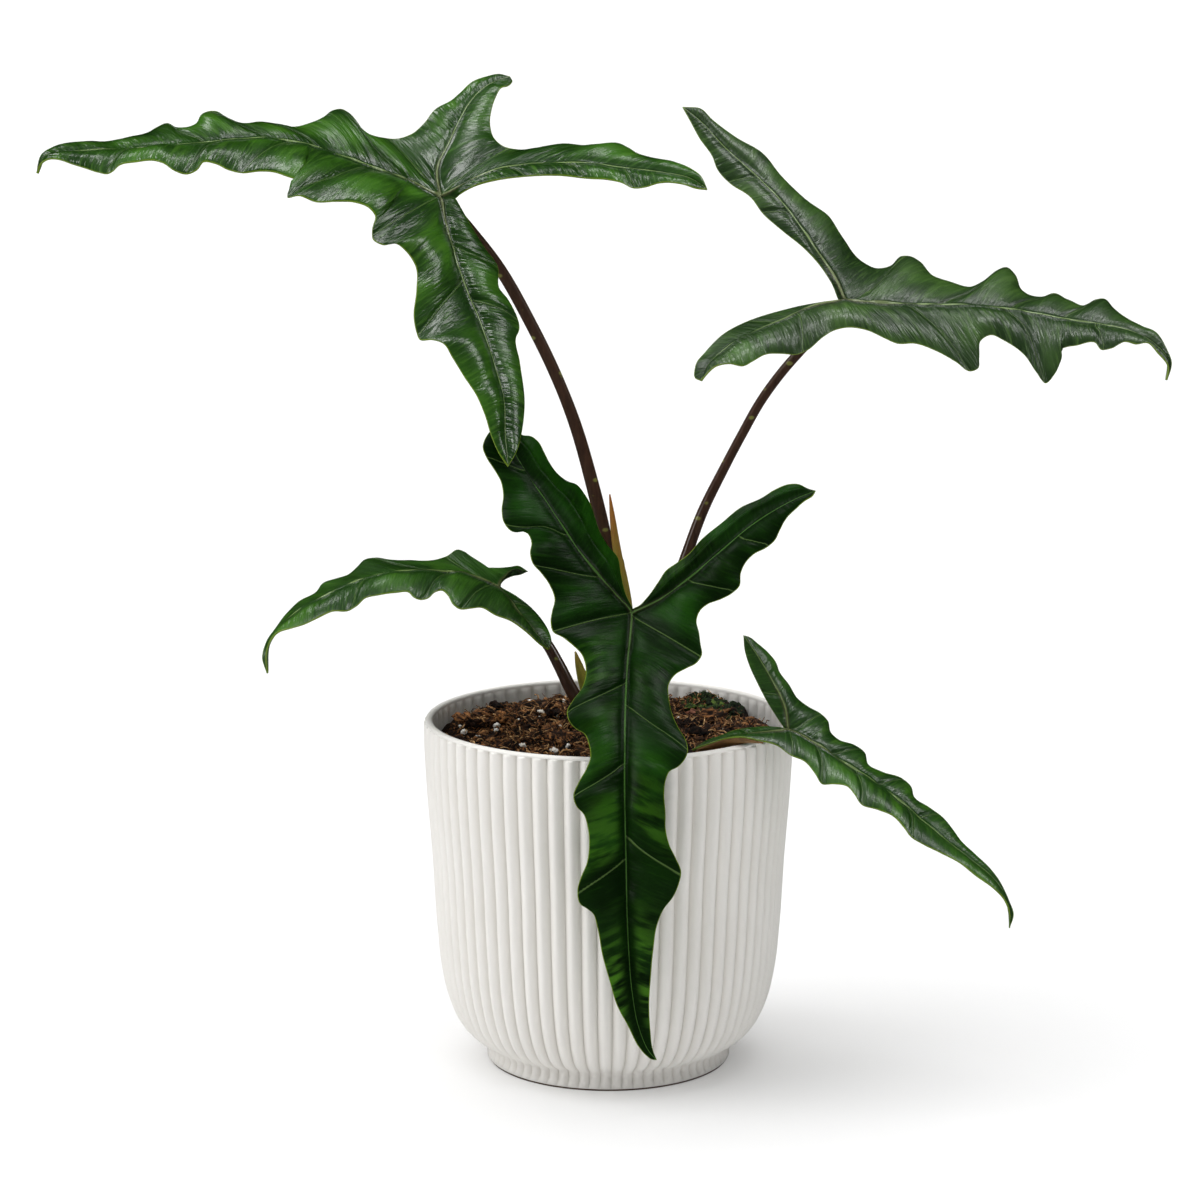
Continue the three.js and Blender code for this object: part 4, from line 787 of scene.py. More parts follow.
# Each blade as the model has it: the junction with the stalk, the sinus between the back lobes, the
# main veins to their tips, and the edge as one walk round the blade. Arch says how far each field
# swells up. Pale gives the places where the blade stays yellow-green, by middle, reach and strength,
# and creased the fields with a sharp fold, by where its crest lies and how far it stands up.
UPPER_LEFT = {
    "pale": [
        ((-38, -12, 300), 12, 0.8), ((-60, 20, 372), 16, 0.4), ((-140, 6, 378), 30, 0.4),
        ((-84, -20, 345), 16, 0.5),
    ],
    "junction": [-67, 0, 352],
    "sinus": [-60.5, 2, 351.5],
    "arch": [1.5, 2.5, 1, 1.5, 1.5],
    "veins": [
        [
            [-63.5, -6, 338], [-60.5, -10, 328.5], [-56, -15, 316.5], [-51, -19, 305.5], [-47, -24, 294.5],
            [-43.5, -29, 284.5], [-41, -34, 274.5], [-40.5, -39, 264], [-39, -46, 251.5],
        ],
        [
            [-81, 0, 359], [-93, -1, 363.5], [-109.5, -3, 369.5], [-120, -4, 373], [-136, -6, 375],
            [-159, -9, 373.5], [-183.5, -12, 371.5], [-209, -15, 370.5], [-219, -16, 369],
            [-222.5, -16, 362.5],
        ],
        [
            [-68, 10, 363], [-63.5, 18, 372.5], [-60, 26, 380], [-56, 33, 387], [-51, 39, 392.5],
            [-44.5, 44, 396], [-40, 46, 397.5],
        ],
        [
            [-56, 3, 357], [-45, 4, 362], [-34, 4, 364], [-19, 2, 365], [-7.5, 0, 365], [6, -3, 363.5],
            [20.5, -7, 362], [31.5, -10, 360], [38.5, -13, 356],
        ],
    ],
    "edges": [
        [
            [-54.5, 0, 341], [-49, -1, 332], [-44, -2, 325], [-43.5, -5, 317], [-39.5, -8, 312],
            [-35.5, -12, 300.5], [-36.5, -14, 298.5], [-35, -20, 289], [-33, -29, 274], [-34, -36, 263.5],
            [-36, -43, 256.5],
        ],
        [
            [-42.5, -45, 256.5], [-45.5, -43, 263], [-48, -41, 271], [-51.5, -40, 279], [-56, -38, 285.5],
            [-60.5, -38, 293], [-64, -38, 298.5], [-68.5, -38, 300], [-73, -38, 300], [-74.5, -36, 303],
            [-75.5, -34, 308], [-74.5, -31, 318.5], [-75, -27, 327.5], [-78.5, -27, 333], [-82, -28, 336],
            [-87.5, -31, 336], [-91, -31, 338], [-91.5, -29, 341.5], [-90.5, -26, 347], [-93, -26, 350],
            [-98, -27, 352], [-105.5, -29, 352.5], [-113, -31, 352.5], [-119.5, -33, 355],
            [-123.5, -35, 354.5], [-123, -32, 357], [-120.5, -27, 360.5], [-124.5, -26, 362],
            [-129, -26, 363.5], [-134.5, -27, 364], [-141.5, -29, 363.5], [-146.5, -28, 364.5],
            [-152.5, -26, 367], [-156.5, -26, 367.5], [-159, -28, 364.5], [-162.5, -29, 363],
            [-168, -28, 364.5], [-172, -26, 367], [-176, -25, 368], [-182.5, -26, 367.5], [-189.5, -26, 366],
            [-191.5, -27, 364], [-193.5, -27, 363], [-197.5, -26, 363.5], [-202.5, -25, 365],
            [-208, -23, 366.5], [-213, -21, 368], [-217.5, -19, 368], [-221, -17, 366],
        ],
        [
            [-221.5, -15, 368.5], [-217.5, -9, 372], [-212, -6, 373.5], [-205.5, -3, 374], [-195, 0, 374],
            [-188.5, 3, 375.5], [-182, 5, 377], [-178.5, 8, 379], [-175, 9, 380.5], [-171, 6, 379],
            [-167, 5, 379], [-163, 8, 380.5], [-161, 12, 384], [-158.5, 14, 385], [-155.5, 13, 385],
            [-151.5, 10, 382.5], [-147.5, 9, 380.5], [-137.5, 11, 381], [-130.5, 11, 380], [-125.5, 11, 379],
            [-119.5, 14, 380], [-113.5, 18, 382.5], [-110, 22, 385], [-107, 23, 385.5], [-103.5, 21, 384],
            [-100.5, 17, 380], [-95.5, 15, 376], [-90, 16, 374.5], [-84.5, 17, 374], [-79, 20, 375.5],
            [-74, 26, 379.5], [-69.5, 33, 385], [-63, 38, 388.5], [-59.5, 41, 391.5], [-55, 44, 395.5],
            [-49.5, 46, 397.5], [-44, 47, 398.5],
        ],
        [
            [-39, 46, 396], [-40.5, 43, 394], [-43, 40, 393.5], [-45.5, 36, 389.5], [-47, 32, 385],
            [-47.5, 27, 378.5], [-46, 24, 374], [-42.5, 22, 371], [-36, 21, 369.5], [-27, 19, 370.5],
            [-18, 18, 372], [-10, 16, 371.5], [-2, 14, 372], [4, 12, 372.5], [7.5, 10, 371], [12, 6, 368.5],
            [18.5, 2, 367], [25.5, -2, 366], [32.5, -7, 363.5], [36.5, -11, 360.5],
        ],
        [
            [34, -14, 356.5], [29.5, -14, 358], [19.5, -13, 358.5], [14.5, -13, 357], [9.5, -12, 356.5],
            [5, -10, 358.5], [0, -9, 359.5], [-8.5, -8, 360], [-19, -6, 361], [-34, -5, 360.5],
            [-44.5, -4, 359], [-53, -2, 356.5], [-57.5, 0, 354],
        ],
    ],
}

UPPER_RIGHT = {
    "pale": [((60, -24, 296), 18, 0.6), ((80, 18, 338), 16, 0.4)],
    "junction": [94, 0, 310.5],
    "sinus": [91.5, 3, 311],
    "arch": [1.5, 1.5, 2.5, 0],
    "veins": [
        [
            [91.5, 4, 316.5], [82.5, 13, 330.5], [71.5, 22, 346], [61, 29, 357], [46, 36, 370.5],
            [36.5, 40, 380.5], [30, 42, 385.5],
        ],
        [
            [115, -1, 309.5], [136.5, -3, 309.5], [155, -5, 308.5], [170, -7, 306.5], [183.5, -9, 304],
            [195.5, -11, 302.5], [206, -13, 300], [214.5, -16, 295.5], [219.5, -18, 289.5], [219, -20, 282],
        ],
        [
            [81.5, -5, 309.5], [70.5, -11, 305.5], [58, -18, 301], [47, -24, 295.5], [40, -29, 290],
            [36, -34, 283.5],
        ],
    ],
    "edges": [
        [
            [90, 5, 315], [85, 9, 323.5], [78.5, 13, 330.5], [69, 17, 338], [62, 20, 344], [57, 24, 350.5],
            [48.5, 29, 356], [44, 32, 361], [42, 34, 366], [37, 37, 373], [32.5, 40, 381],
        ],
        [
            [33, 42, 385.5], [37, 42, 385], [42, 41, 380.5], [51.5, 39, 373.5], [62.5, 37, 367],
            [69.5, 35, 358.5], [79.5, 31, 349], [89, 29, 342], [94, 26, 334.5], [101.5, 23, 325],
            [107.5, 22, 322], [114, 23, 323], [118, 25, 326.5], [121.5, 26, 326.5], [125.5, 24, 324.5],
            [130, 20, 319.5], [137, 18, 317], [146.5, 16, 315], [152, 18, 317.5], [156, 21, 321],
            [160, 21, 322.5], [163, 18, 320], [165.5, 14, 314], [169.5, 12, 311.5], [173.5, 11, 311.5],
            [178, 11, 313], [183.5, 8, 310.5], [189.5, 5, 308.5], [194, 5, 311], [197, 4, 311.5],
            [200.5, 0, 308], [204.5, -4, 305], [210.5, -9, 302], [215.5, -13, 300], [219, -16, 294.5],
            [221, -19, 288.5],
        ],
        [
            [219.5, -20, 287.5], [215.5, -19, 292.5], [211.5, -18, 296.5], [207, -19, 296],
            [202.5, -19, 297], [197, -20, 294.5], [193, -20, 294], [191, -18, 296.5], [184, -18, 295.5],
            [177.5, -18, 293.5], [177, -19, 289], [174.5, -21, 284], [171.5, -22, 281], [168, -20, 285],
            [163.5, -17, 291.5], [155.5, -14, 297], [150.5, -13, 299], [146.5, -14, 297], [145.5, -17, 290],
            [145, -19, 286.5], [142, -20, 285.5], [136.5, -19, 289], [128, -17, 293.5], [120.5, -16, 296],
            [113.5, -16, 296], [108.5, -15, 298], [101.5, -13, 301], [94.5, -13, 302], [89, -14, 301],
            [84, -17, 298.5], [78, -21, 294], [74, -23, 292.5], [67.5, -25, 293], [61.5, -27, 293],
            [56, -30, 290.5], [52.5, -32, 289], [46.5, -33, 290], [41.5, -34, 289], [37.5, -35, 285.5],
        ],
        [
            [33.5, -33, 284.5], [33.5, -31, 288], [38, -23, 293.5], [45, -16, 299.5], [54, -9, 303.5],
            [68.5, -3, 307.5], [82, 1, 310],
        ],
    ],
}

FRONT = {
    "creased": {0: (0.5, 1.5), 3: (0.36, 2.2)},
    "pale": [
        ((6, -90, 112), 26, 0.45), ((7, -90, 66), 32, 1.0), ((-8, -66, 172), 16, 0.3),
        ((24, -40, 212), 16, 0.2),
    ],
    "junction": [9, -42, 192.5],
    "sinus": [9.5, -41, 194.5],
    "arch": [1.5, 2, 2, 5],
    "veins": [
        [
            [14.5, -43, 195.5], [21, -45, 199.5], [31, -47, 207.5], [42, -48, 217], [53.5, -47, 227],
            [65, -45, 234.5], [74.5, -42, 239], [80.5, -40, 241],
        ],
        [
            [8.5, -47, 186.5], [7.5, -53, 179], [6.5, -66, 165], [6, -79, 149.5], [6, -86, 133],
            [6.5, -89, 107], [7.5, -89, 72], [9, -88, 53], [11.5, -87, 39], [16, -86, 28], [18.5, -85, 25],
        ],
        [
            [3, -42, 199.5], [-4, -43, 208], [-14.5, -42, 221.5], [-24.5, -39, 236.5], [-32, -36, 247],
            [-37.5, -34, 256.5], [-41, -32, 264.5],
        ],
    ],
    "edges": [
        [
            [12, -42, 196], [15.5, -43, 200], [19.5, -44, 206], [22.5, -44, 210.5], [26, -44, 213],
            [31, -43, 216.5], [36.5, -42, 222.5], [44, -41, 228.5], [51.5, -40, 234.5], [59.5, -39, 238],
            [65, -39, 241.5], [70, -39, 243.5], [74, -39, 243.5], [77, -39, 242],
        ],
        [
            [79.5, -41, 239.5], [76, -43, 237.5], [73, -44, 235], [69, -46, 231.5], [66, -48, 226.5],
            [64.5, -49, 223.5], [61, -50, 220.5], [56, -51, 218], [52.5, -51, 214], [51, -52, 210.5],
            [50.5, -54, 206], [48, -54, 203.5], [44, -53, 201], [38, -53, 198.5], [35.5, -54, 196.5],
            [34, -55, 192.5], [35, -57, 188], [35.5, -59, 184], [36, -61, 180.5], [34, -62, 177.5],
            [30, -63, 175.5], [25.5, -64, 173], [23, -67, 169.5], [23, -70, 165.5], [24, -74, 160.5],
            [26.5, -79, 155.5], [29.5, -83, 151], [30, -86, 147.5], [28.5, -87, 144.5], [26, -87, 142],
            [23, -88, 140.5], [21.5, -89, 137], [21, -90, 132.5], [21.5, -91, 124.5], [21.5, -92, 119.5],
            [23, -93, 113], [25.5, -94, 108], [27.5, -95, 103], [26.5, -95, 98], [24.5, -94, 93],
            [21, -93, 88], [18.5, -92, 81.5], [17, -91, 71], [16, -90, 58.5], [15.5, -89, 49.5],
            [16, -87, 37.5], [17, -85, 29],
        ],
        [
            [17, -85, 25], [14.5, -86, 27], [11.5, -87, 31], [7.5, -88, 39.5], [3, -90, 49], [0.5, -91, 58],
            [-2.5, -92, 69.5], [-4.5, -93, 81], [-6, -93, 86], [-8.5, -94, 88.5], [-11, -95, 90.5],
            [-12, -95, 95.5], [-10.5, -94, 101], [-8.5, -93, 105.5], [-7.5, -92, 112.5], [-8, -92, 119.5],
            [-10, -92, 125.5], [-12, -92, 127.5], [-13.5, -92, 131.5], [-11.5, -89, 136.5],
            [-8.5, -87, 141.5], [-7, -85, 145.5], [-7.5, -83, 149.5], [-9.5, -80, 153.5], [-13, -79, 155.5],
            [-15.5, -78, 158.5], [-16, -76, 161], [-14, -73, 164.5], [-10.5, -69, 168.5], [-9, -66, 172.5],
            [-9, -63, 176.5], [-10.5, -61, 180.5], [-14, -60, 184], [-18, -59, 187], [-21.5, -59, 189],
            [-22.5, -58, 192.5], [-22, -55, 196], [-21, -52, 200.5], [-23, -51, 206], [-26.5, -51, 211],
            [-29.5, -51, 214.5], [-30.5, -50, 218], [-30, -47, 222], [-31.5, -47, 225.5], [-34, -47, 226.5],
            [-37.5, -48, 226.5], [-40.5, -47, 229.5], [-41.5, -44, 233.5], [-41, -41, 240], [-42, -40, 245],
            [-44.5, -40, 249.5], [-47.5, -39, 254], [-49, -37, 258], [-48, -35, 261], [-46, -33, 263.5],
        ],
        [
            [-37, -31, 264], [-33.5, -30, 261.5], [-30.5, -29, 261], [-27.5, -28, 258.5],
            [-25.5, -27, 254.5], [-23.5, -27, 250.5], [-20, -26, 245.5], [-16, -26, 242.5],
            [-12.5, -25, 241], [-10, -25, 238], [-7.5, -26, 234], [-5.5, -28, 228.5], [-4, -29, 224],
            [-1, -31, 218.5], [3.5, -34, 213.5], [4.5, -36, 208], [7, -40, 199],
        ],
    ],
}

LOWER_LEFT = {
    "pale": [((-120, -20, 190), 22, 0.8), ((-60, -14, 197), 20, 0.4)],
    "junction": [-45, -5, 196],
    "sinus": [-43.5, -3, 196],
    "arch": [1, 1.5, -0.5, 0],
    "veins": [
        [
            [-39, -8, 190], [-32, -12, 182], [-24, -15, 173],
        ],
        [
            [-55.5, -6, 201], [-67.5, -7, 203], [-78.5, -8, 203.5], [-89.5, -9, 202.5], [-101.5, -10, 199],
            [-112.5, -12, 194.5], [-121.5, -13, 189.5], [-129.5, -14, 183.5], [-135.5, -15, 176],
            [-136.5, -16, 163.5],
        ],
        [
            [-43, 8, 197], [-39, 22, 198.5], [-33.5, 36, 195.5],
        ],
    ],
    "edges": [
        [
            [-37.5, 0, 192], [-31, -1, 187], [-26.5, -5, 182.5], [-24, -9, 179], [-23, -13, 175.5],
        ],
        [
            [-27, -18, 175.5], [-32.5, -20, 181], [-39, -21, 186], [-45, -22, 188.5], [-50.5, -22, 191.5],
            [-55, -24, 191.5], [-59, -25, 191.5], [-61.5, -24, 193], [-64, -21, 196.5], [-66, -20, 198],
            [-69, -21, 197.5], [-71.5, -23, 195.5], [-74.5, -24, 195], [-77.5, -23, 196], [-79, -22, 197.5],
            [-84.5, -22, 197.5], [-91.5, -22, 196.5], [-96.5, -23, 195.5], [-99.5, -25, 193],
            [-103, -26, 191], [-109.5, -25, 190.5], [-115, -25, 188], [-121, -24, 185], [-126.5, -22, 183],
            [-131.5, -20, 181], [-135.5, -17.5, 176], [-137, -16.5, 170.5],
        ],
        [
            [-138.5, -15, 169.5], [-137, -13, 175.5], [-133.5, -9, 180.5], [-129.5, -5, 185.5],
            [-124.5, -1, 190], [-118, 3, 193], [-115.5, 6, 196], [-111, 7, 197.5], [-105.5, 9, 199],
            [-102, 13, 201.5], [-99, 16, 204], [-95, 17, 204.5], [-90, 16, 204], [-80, 16, 203.5],
            [-70.5, 18, 203.5], [-66, 21, 204.5], [-61.5, 25, 206.5], [-58.5, 24, 205.5], [-56.5, 21, 202],
            [-52, 21, 200], [-46.5, 24, 199], [-41, 29, 198.5], [-36.5, 34, 198],
        ],
        [
            [-36, 32, 195], [-39, 26, 195.5], [-42, 15, 196], [-43.5, 4, 196],
        ],
    ],
}

LOWER_RIGHT = {
    "pale": [((110, -54, 122), 26, 0.6), ((140, -58, 100), 22, 0.7)],
    "junction": [70.5, -46, 146.5],
    "sinus": [69, -45, 147.5],
    "arch": [1.5, 1.5, 2, 0.5],
    "veins": [
        [
            [69, -44, 156], [65, -42, 164.5], [60, -40, 173], [56, -38, 179], [53, -36, 183],
        ],
        [
            [81, -48, 141.5], [90.5, -50, 135.5], [101, -52, 129], [111.5, -54, 122], [120.5, -56, 114.5],
            [131, -58, 106], [140.5, -60, 98.5], [150.5, -62, 90.5], [155.5, -63, 83], [157, -63, 71.5],
        ],
        [
            [64.5, -49, 146.5], [58, -51, 146.5], [52, -51, 146], [46.5, -50, 144.5], [40.5, -48, 142.5],
            [33, -46, 139],
        ],
    ],
    "edges": [
        [
            [66, -43, 152], [62.5, -42, 157.5], [58.5, -40, 165], [55.5, -38, 171.5], [53.5, -37, 178],
        ],
        [
            [55, -36, 182.5], [58.5, -35, 179.5], [63, -35, 175.5], [66, -35, 171.5], [67, -35, 168.5],
            [71, -36, 163], [74, -36, 158], [79, -36, 154], [83.5, -36, 151.5], [86.5, -36, 148.5],
            [87.5, -39, 144.5], [91, -40, 141.5], [97, -40, 139.5], [101, -40, 136.5], [102, -43, 132.5],
            [108, -44, 129.5], [115.5, -44, 127], [119, -45, 124], [120, -48, 120.5], [126, -49, 116.5],
            [131.5, -50, 112.5], [135, -52, 108.5], [138, -54, 104.5], [143.5, -56, 99.5], [149.5, -58, 94],
            [154, -61, 88], [156.5, -62, 82.5], [158.5, -63, 77],
        ],
        [
            [157, -64, 77], [154.5, -65, 83.5], [150.5, -66, 88], [143, -66, 93.5], [136.5, -67, 99],
            [129, -67, 103], [122, -67, 106.5], [117, -68, 110], [115, -66, 112.5], [110.5, -64, 117],
            [104.5, -64, 119.5], [98, -65, 122], [95.5, -63, 125.5], [93, -61, 128], [87.5, -61, 129],
            [83, -61, 129], [80.5, -59, 132.5], [76.5, -57, 137], [71, -57, 139.5], [65.5, -55, 143],
            [58, -55, 145], [52, -54, 146], [45.5, -52, 145], [39, -49, 142],
        ],
        [
            [38.5, -45, 142.5], [44, -45, 144.5], [49, -45, 146.5], [56.5, -46, 148], [62, -46.5, 148.5],
        ],
    ],
}


def places_at(line, lengths, s):
    """The places on the line at the distances s."""
    return np.stack([np.interp(s, lengths, line[:, c]) for c in range(3)], axis=-1)


def eased(values, reach):
    """A running mean that keeps both ends."""
    padded = np.concatenate([np.full(reach, values[0]), values, np.full(reach, values[-1])])
    out = np.convolve(padded, np.ones(2 * reach + 1) / (2 * reach + 1), "valid")
    out[0], out[-1] = values[0], values[-1]
    return out


def rib_feet(spine, edge):
    """Where on the spine each cross line starts: between the nearest place and the same share."""
    spine_run, edge_run = running(spine), running(edge)
    gap = np.linalg.norm(edge[:, None] - spine[None], axis=2)
    nearest = spine_run[gap.argmin(axis=1)]
    share = edge_run / edge_run[-1] * spine_run[-1]
    feet = np.maximum.accumulate(0.5 * nearest + 0.5 * share)
    feet[0], feet[-1] = 0, spine_run[-1]
    return eased(feet, 4)


def crests(width):
    """Rows where the edge stands out furthest between two bays: a side vein ends there."""
    calm = eased(width, 3)
    found = []
    for i in range(5, len(calm) - 5):
        near = calm[max(0, i - CRESTS_APART):i + CRESTS_APART + 1]
        waves = calm[i] == near.max() and calm[i] - near.min() > LEAST_WAVE
        if waves and calm[i] > NARROWEST_WITH_VEINS and (not found or i - found[-1] > CRESTS_APART):
            found.append(i)
    return found


def column_places(width, slant, crest_at):
    """How far out each column lies along its row, close together by the vein, by the edge and by
    the crest of a fold. Rows that leave the vein at a slant reach a distance from it later."""
    near = [min(d / slant, width * 0.06 * (i + 1)) for i, d in enumerate(NEAR_VEIN)]
    rim = [max(width - d, width * (1 - 0.05 * (i + 1))) for i, d in enumerate(NEAR_EDGE)]
    middle = np.linspace(-1, 1, BETWEEN_COLUMNS + 2)[1:-1]
    if crest_at:
        crest = crest_at * width
        reach = np.where(middle < 0, crest - near[-1], rim[-1] - crest)
        middle = crest + np.sign(middle) * np.abs(middle) ** 1.8 * reach
    else:
        middle = near[-1] + (middle + 1) / 2 * (rim[-1] - near[-1])
    return np.concatenate([near, middle, rim[::-1], [width]])


def grow_field(spine, edge, junction_at, arch, crest_at, rows_share_end):
    """One field of the blade as a grid of rows from the spine to the edge. Returns the grid's
    places and, for each, the numbers that its relief and colours are made from."""
    spine_run = running(spine)
    feet = rib_feet(spine, edge)
    foot = places_at(spine, spine_run, feet)
    across = edge - foot
    width = np.linalg.norm(across, axis=1)
    ahead = places_at(spine, spine_run, feet + SPINE_REACH)
    ahead -= places_at(spine, spine_run, feet - SPINE_REACH)
    up = np.cross(ahead, across)
    length = np.linalg.norm(up, axis=1)
    slant = eased(length / np.maximum(np.linalg.norm(ahead, axis=1) * width, 1e-9), 2).clip(0.3, 1)
    up /= np.maximum(length, 1e-9)[:, None]
    for c in range(3):
        up[:, c] = eased(up[:, c], 3)
    out = np.array([column_places(w, s, crest_at) for w, s in zip(width, slant)])
    share = out / np.maximum(width, 1e-9)[:, None]
    swell = arch * np.minimum(1, width / FULL_SWELL_WIDTH)
    from_start = np.minimum(1, np.arange(len(width)) / ROWS_TO_FULL_SWELL)
    if rows_share_end == "first":
        swell *= from_start
    if rows_share_end == "last":
        swell *= from_start[::-1]
    places = foot[:, None] + across[:, None] * share[..., None]
    across_swell = 4 * share * (1 - share)
    if crest_at:
        across_swell = np.minimum(share / crest_at, (1 - share) / (1 - crest_at))
    places += up[:, None] * (swell[:, None] * across_swell)[..., None]
    steps = np.linalg.norm(np.diff(places, axis=0), axis=2)
    along = np.concatenate([np.zeros((1, steps.shape[1])), np.cumsum(steps, axis=0)])

    # A vein ends at a row of the edge and starts further back on the spine, by its lean. Its flow
    # tells, for each place, at which length of the edge the vein through it ends
    rows = np.arange(len(width), dtype=float)
    edge_run = running(edge)

    def flow_of(lean):
        back = lean * width
        starts = np.where(feet > junction_at, np.maximum(junction_at + 1, feet - back),
                          np.minimum(junction_at - 1, feet + back))
        start_rows = np.maximum.accumulate(eased(np.interp(starts, feet, rows), 6))
        flow = np.empty(share.shape)
        for c in range(share.shape[1]):
            t = share[len(width) // 2, c]
            crossing = start_rows + (rows - start_rows) * (t + VEIN_BOW * t * (1 - t))
            flow[:, c] = np.interp(rows, np.maximum.accumulate(crossing) + rows * 1e-3, edge_run)
        return flow

    # Side veins end at the crests: phase is a whole number on each
    phase = np.full(share.shape, 0.5)
    ends = [] if crest_at else [edge_run[row] for row in crests(width)]
    if ends:
        phase = np.interp(flow_of(VEIN_LEAN), [-0.1, *ends, edge_run[-1] + 0.1],
                          [-0.5, *range(len(ends)), len(ends) - 0.5])
    per_phase = np.gradient(along, axis=0) / np.maximum(np.gradient(phase, axis=0), 1e-4)
    from_edge = width[:, None] - out
    out = out * slant[:, None]
    return dict(places=places, feet=feet, width=width, out=out, from_edge=from_edge, share=share,
                flow=flow_of(VEINLET_LEAN), phase=phase, spacing=np.minimum(per_phase, 60))


def field_relief(f, vein_here, crest_at, seed):
    """How far a field stands out: the raised main vein between two grooves, the puckers between side
    veins, soft uneven folds across the blade, and the crest of a sharp fold."""
    high = vein_here * (RIDGE * np.exp(-(f["out"] / RIDGE_WIDTH) ** 2)
                        - GROOVE * np.exp(-((f["out"] - GROOVE_AT) / GROOVE_WIDTH) ** 2))
    pucker = np.minimum(PUCKER, PUCKER_PER_WIDTH * f["width"])[:, None]
    pucker = pucker * (4 * f["share"] * (1 - f["share"])) ** 0.7
    high += pucker * np.abs(np.sin(math.pi * f["phase"])) ** 0.8
    rows, columns = f["share"].shape
    for i in range(rows):
        for c in range(columns - 1):
            spot = Vector((f["flow"][i, c] / FOLD_ALONG, f["out"][i, c] / FOLD_OUT, seed))
            fold = FOLD_HEIGHT * noise.noise(spot) * min(1, f["width"][i] / FOLD_FULL_WIDTH)
            high[i, c] += fold * (1 - f["share"][i, c]) ** 0.3
    if crest_at:
        from_crest = (f["share"] - crest_at) * f["width"][:, None]
        full = np.minimum(1, f["width"] / CREST_FULL_WIDTH)[:, None]
        high += CREST * np.exp(-(from_crest / RIDGE_WIDTH) ** 2) * full
    return high


def blade_normals(points, faces):
    """The way the blade faces at each place, from the faces round it."""
    normals = np.zeros_like(points)
    for corners in faces:
        for n in range(1, len(corners) - 1):
            a, b, c = corners[0], corners[n], corners[n + 1]
            normal = np.cross(points[b] - points[a], points[c] - points[a])
            for v in (a, b, c):
                normals[v] += normal
    return normals / np.maximum(np.linalg.norm(normals, axis=1), 1e-9)[:, None]


def closed_blade(name, upper, lower, faces, marks, edge_loop):
    """The upper and the lower side, joined round the edge. Each corner keeps its numbers for the
    material: where its veinlet runs, where the veins are, and which tone the blade has there."""
    count = len(upper)
    lower_faces = [[v + count for v in corners[::-1]] for corners in faces]
    rim_faces = []
    for n, a in enumerate(edge_loop):
        b = edge_loop[(n + 1) % len(edge_loop)]
        rim_faces.append([int(a), int(b), int(b) + count, int(a) + count])
    mesh = mesh_from(name, np.concatenate([upper, lower]), faces + lower_faces + rim_faces)
    upper_marks = np.array([m for corners in marks for m in corners])
    lower_marks = np.array([m for corners in marks for m in corners[::-1]])
    rim_marks = np.tile(RIM_MARK, (4 * len(rim_faces), 1))
    all_marks = np.concatenate([upper_marks, lower_marks, rim_marks])
    under = np.zeros(len(all_marks))
    under[len(upper_marks):2 * len(upper_marks)] = 1
    veins = np.column_stack([all_marks[:, 3:5], under])
    for label, values in (("grain", all_marks[:, :3]), ("veins", veins), ("tone", all_marks[:, 5:8])):
        mesh.attributes.new(label, "FLOAT_VECTOR", "CORNER").data.foreach_set("vector", values.ravel())
    return place(name, mesh)


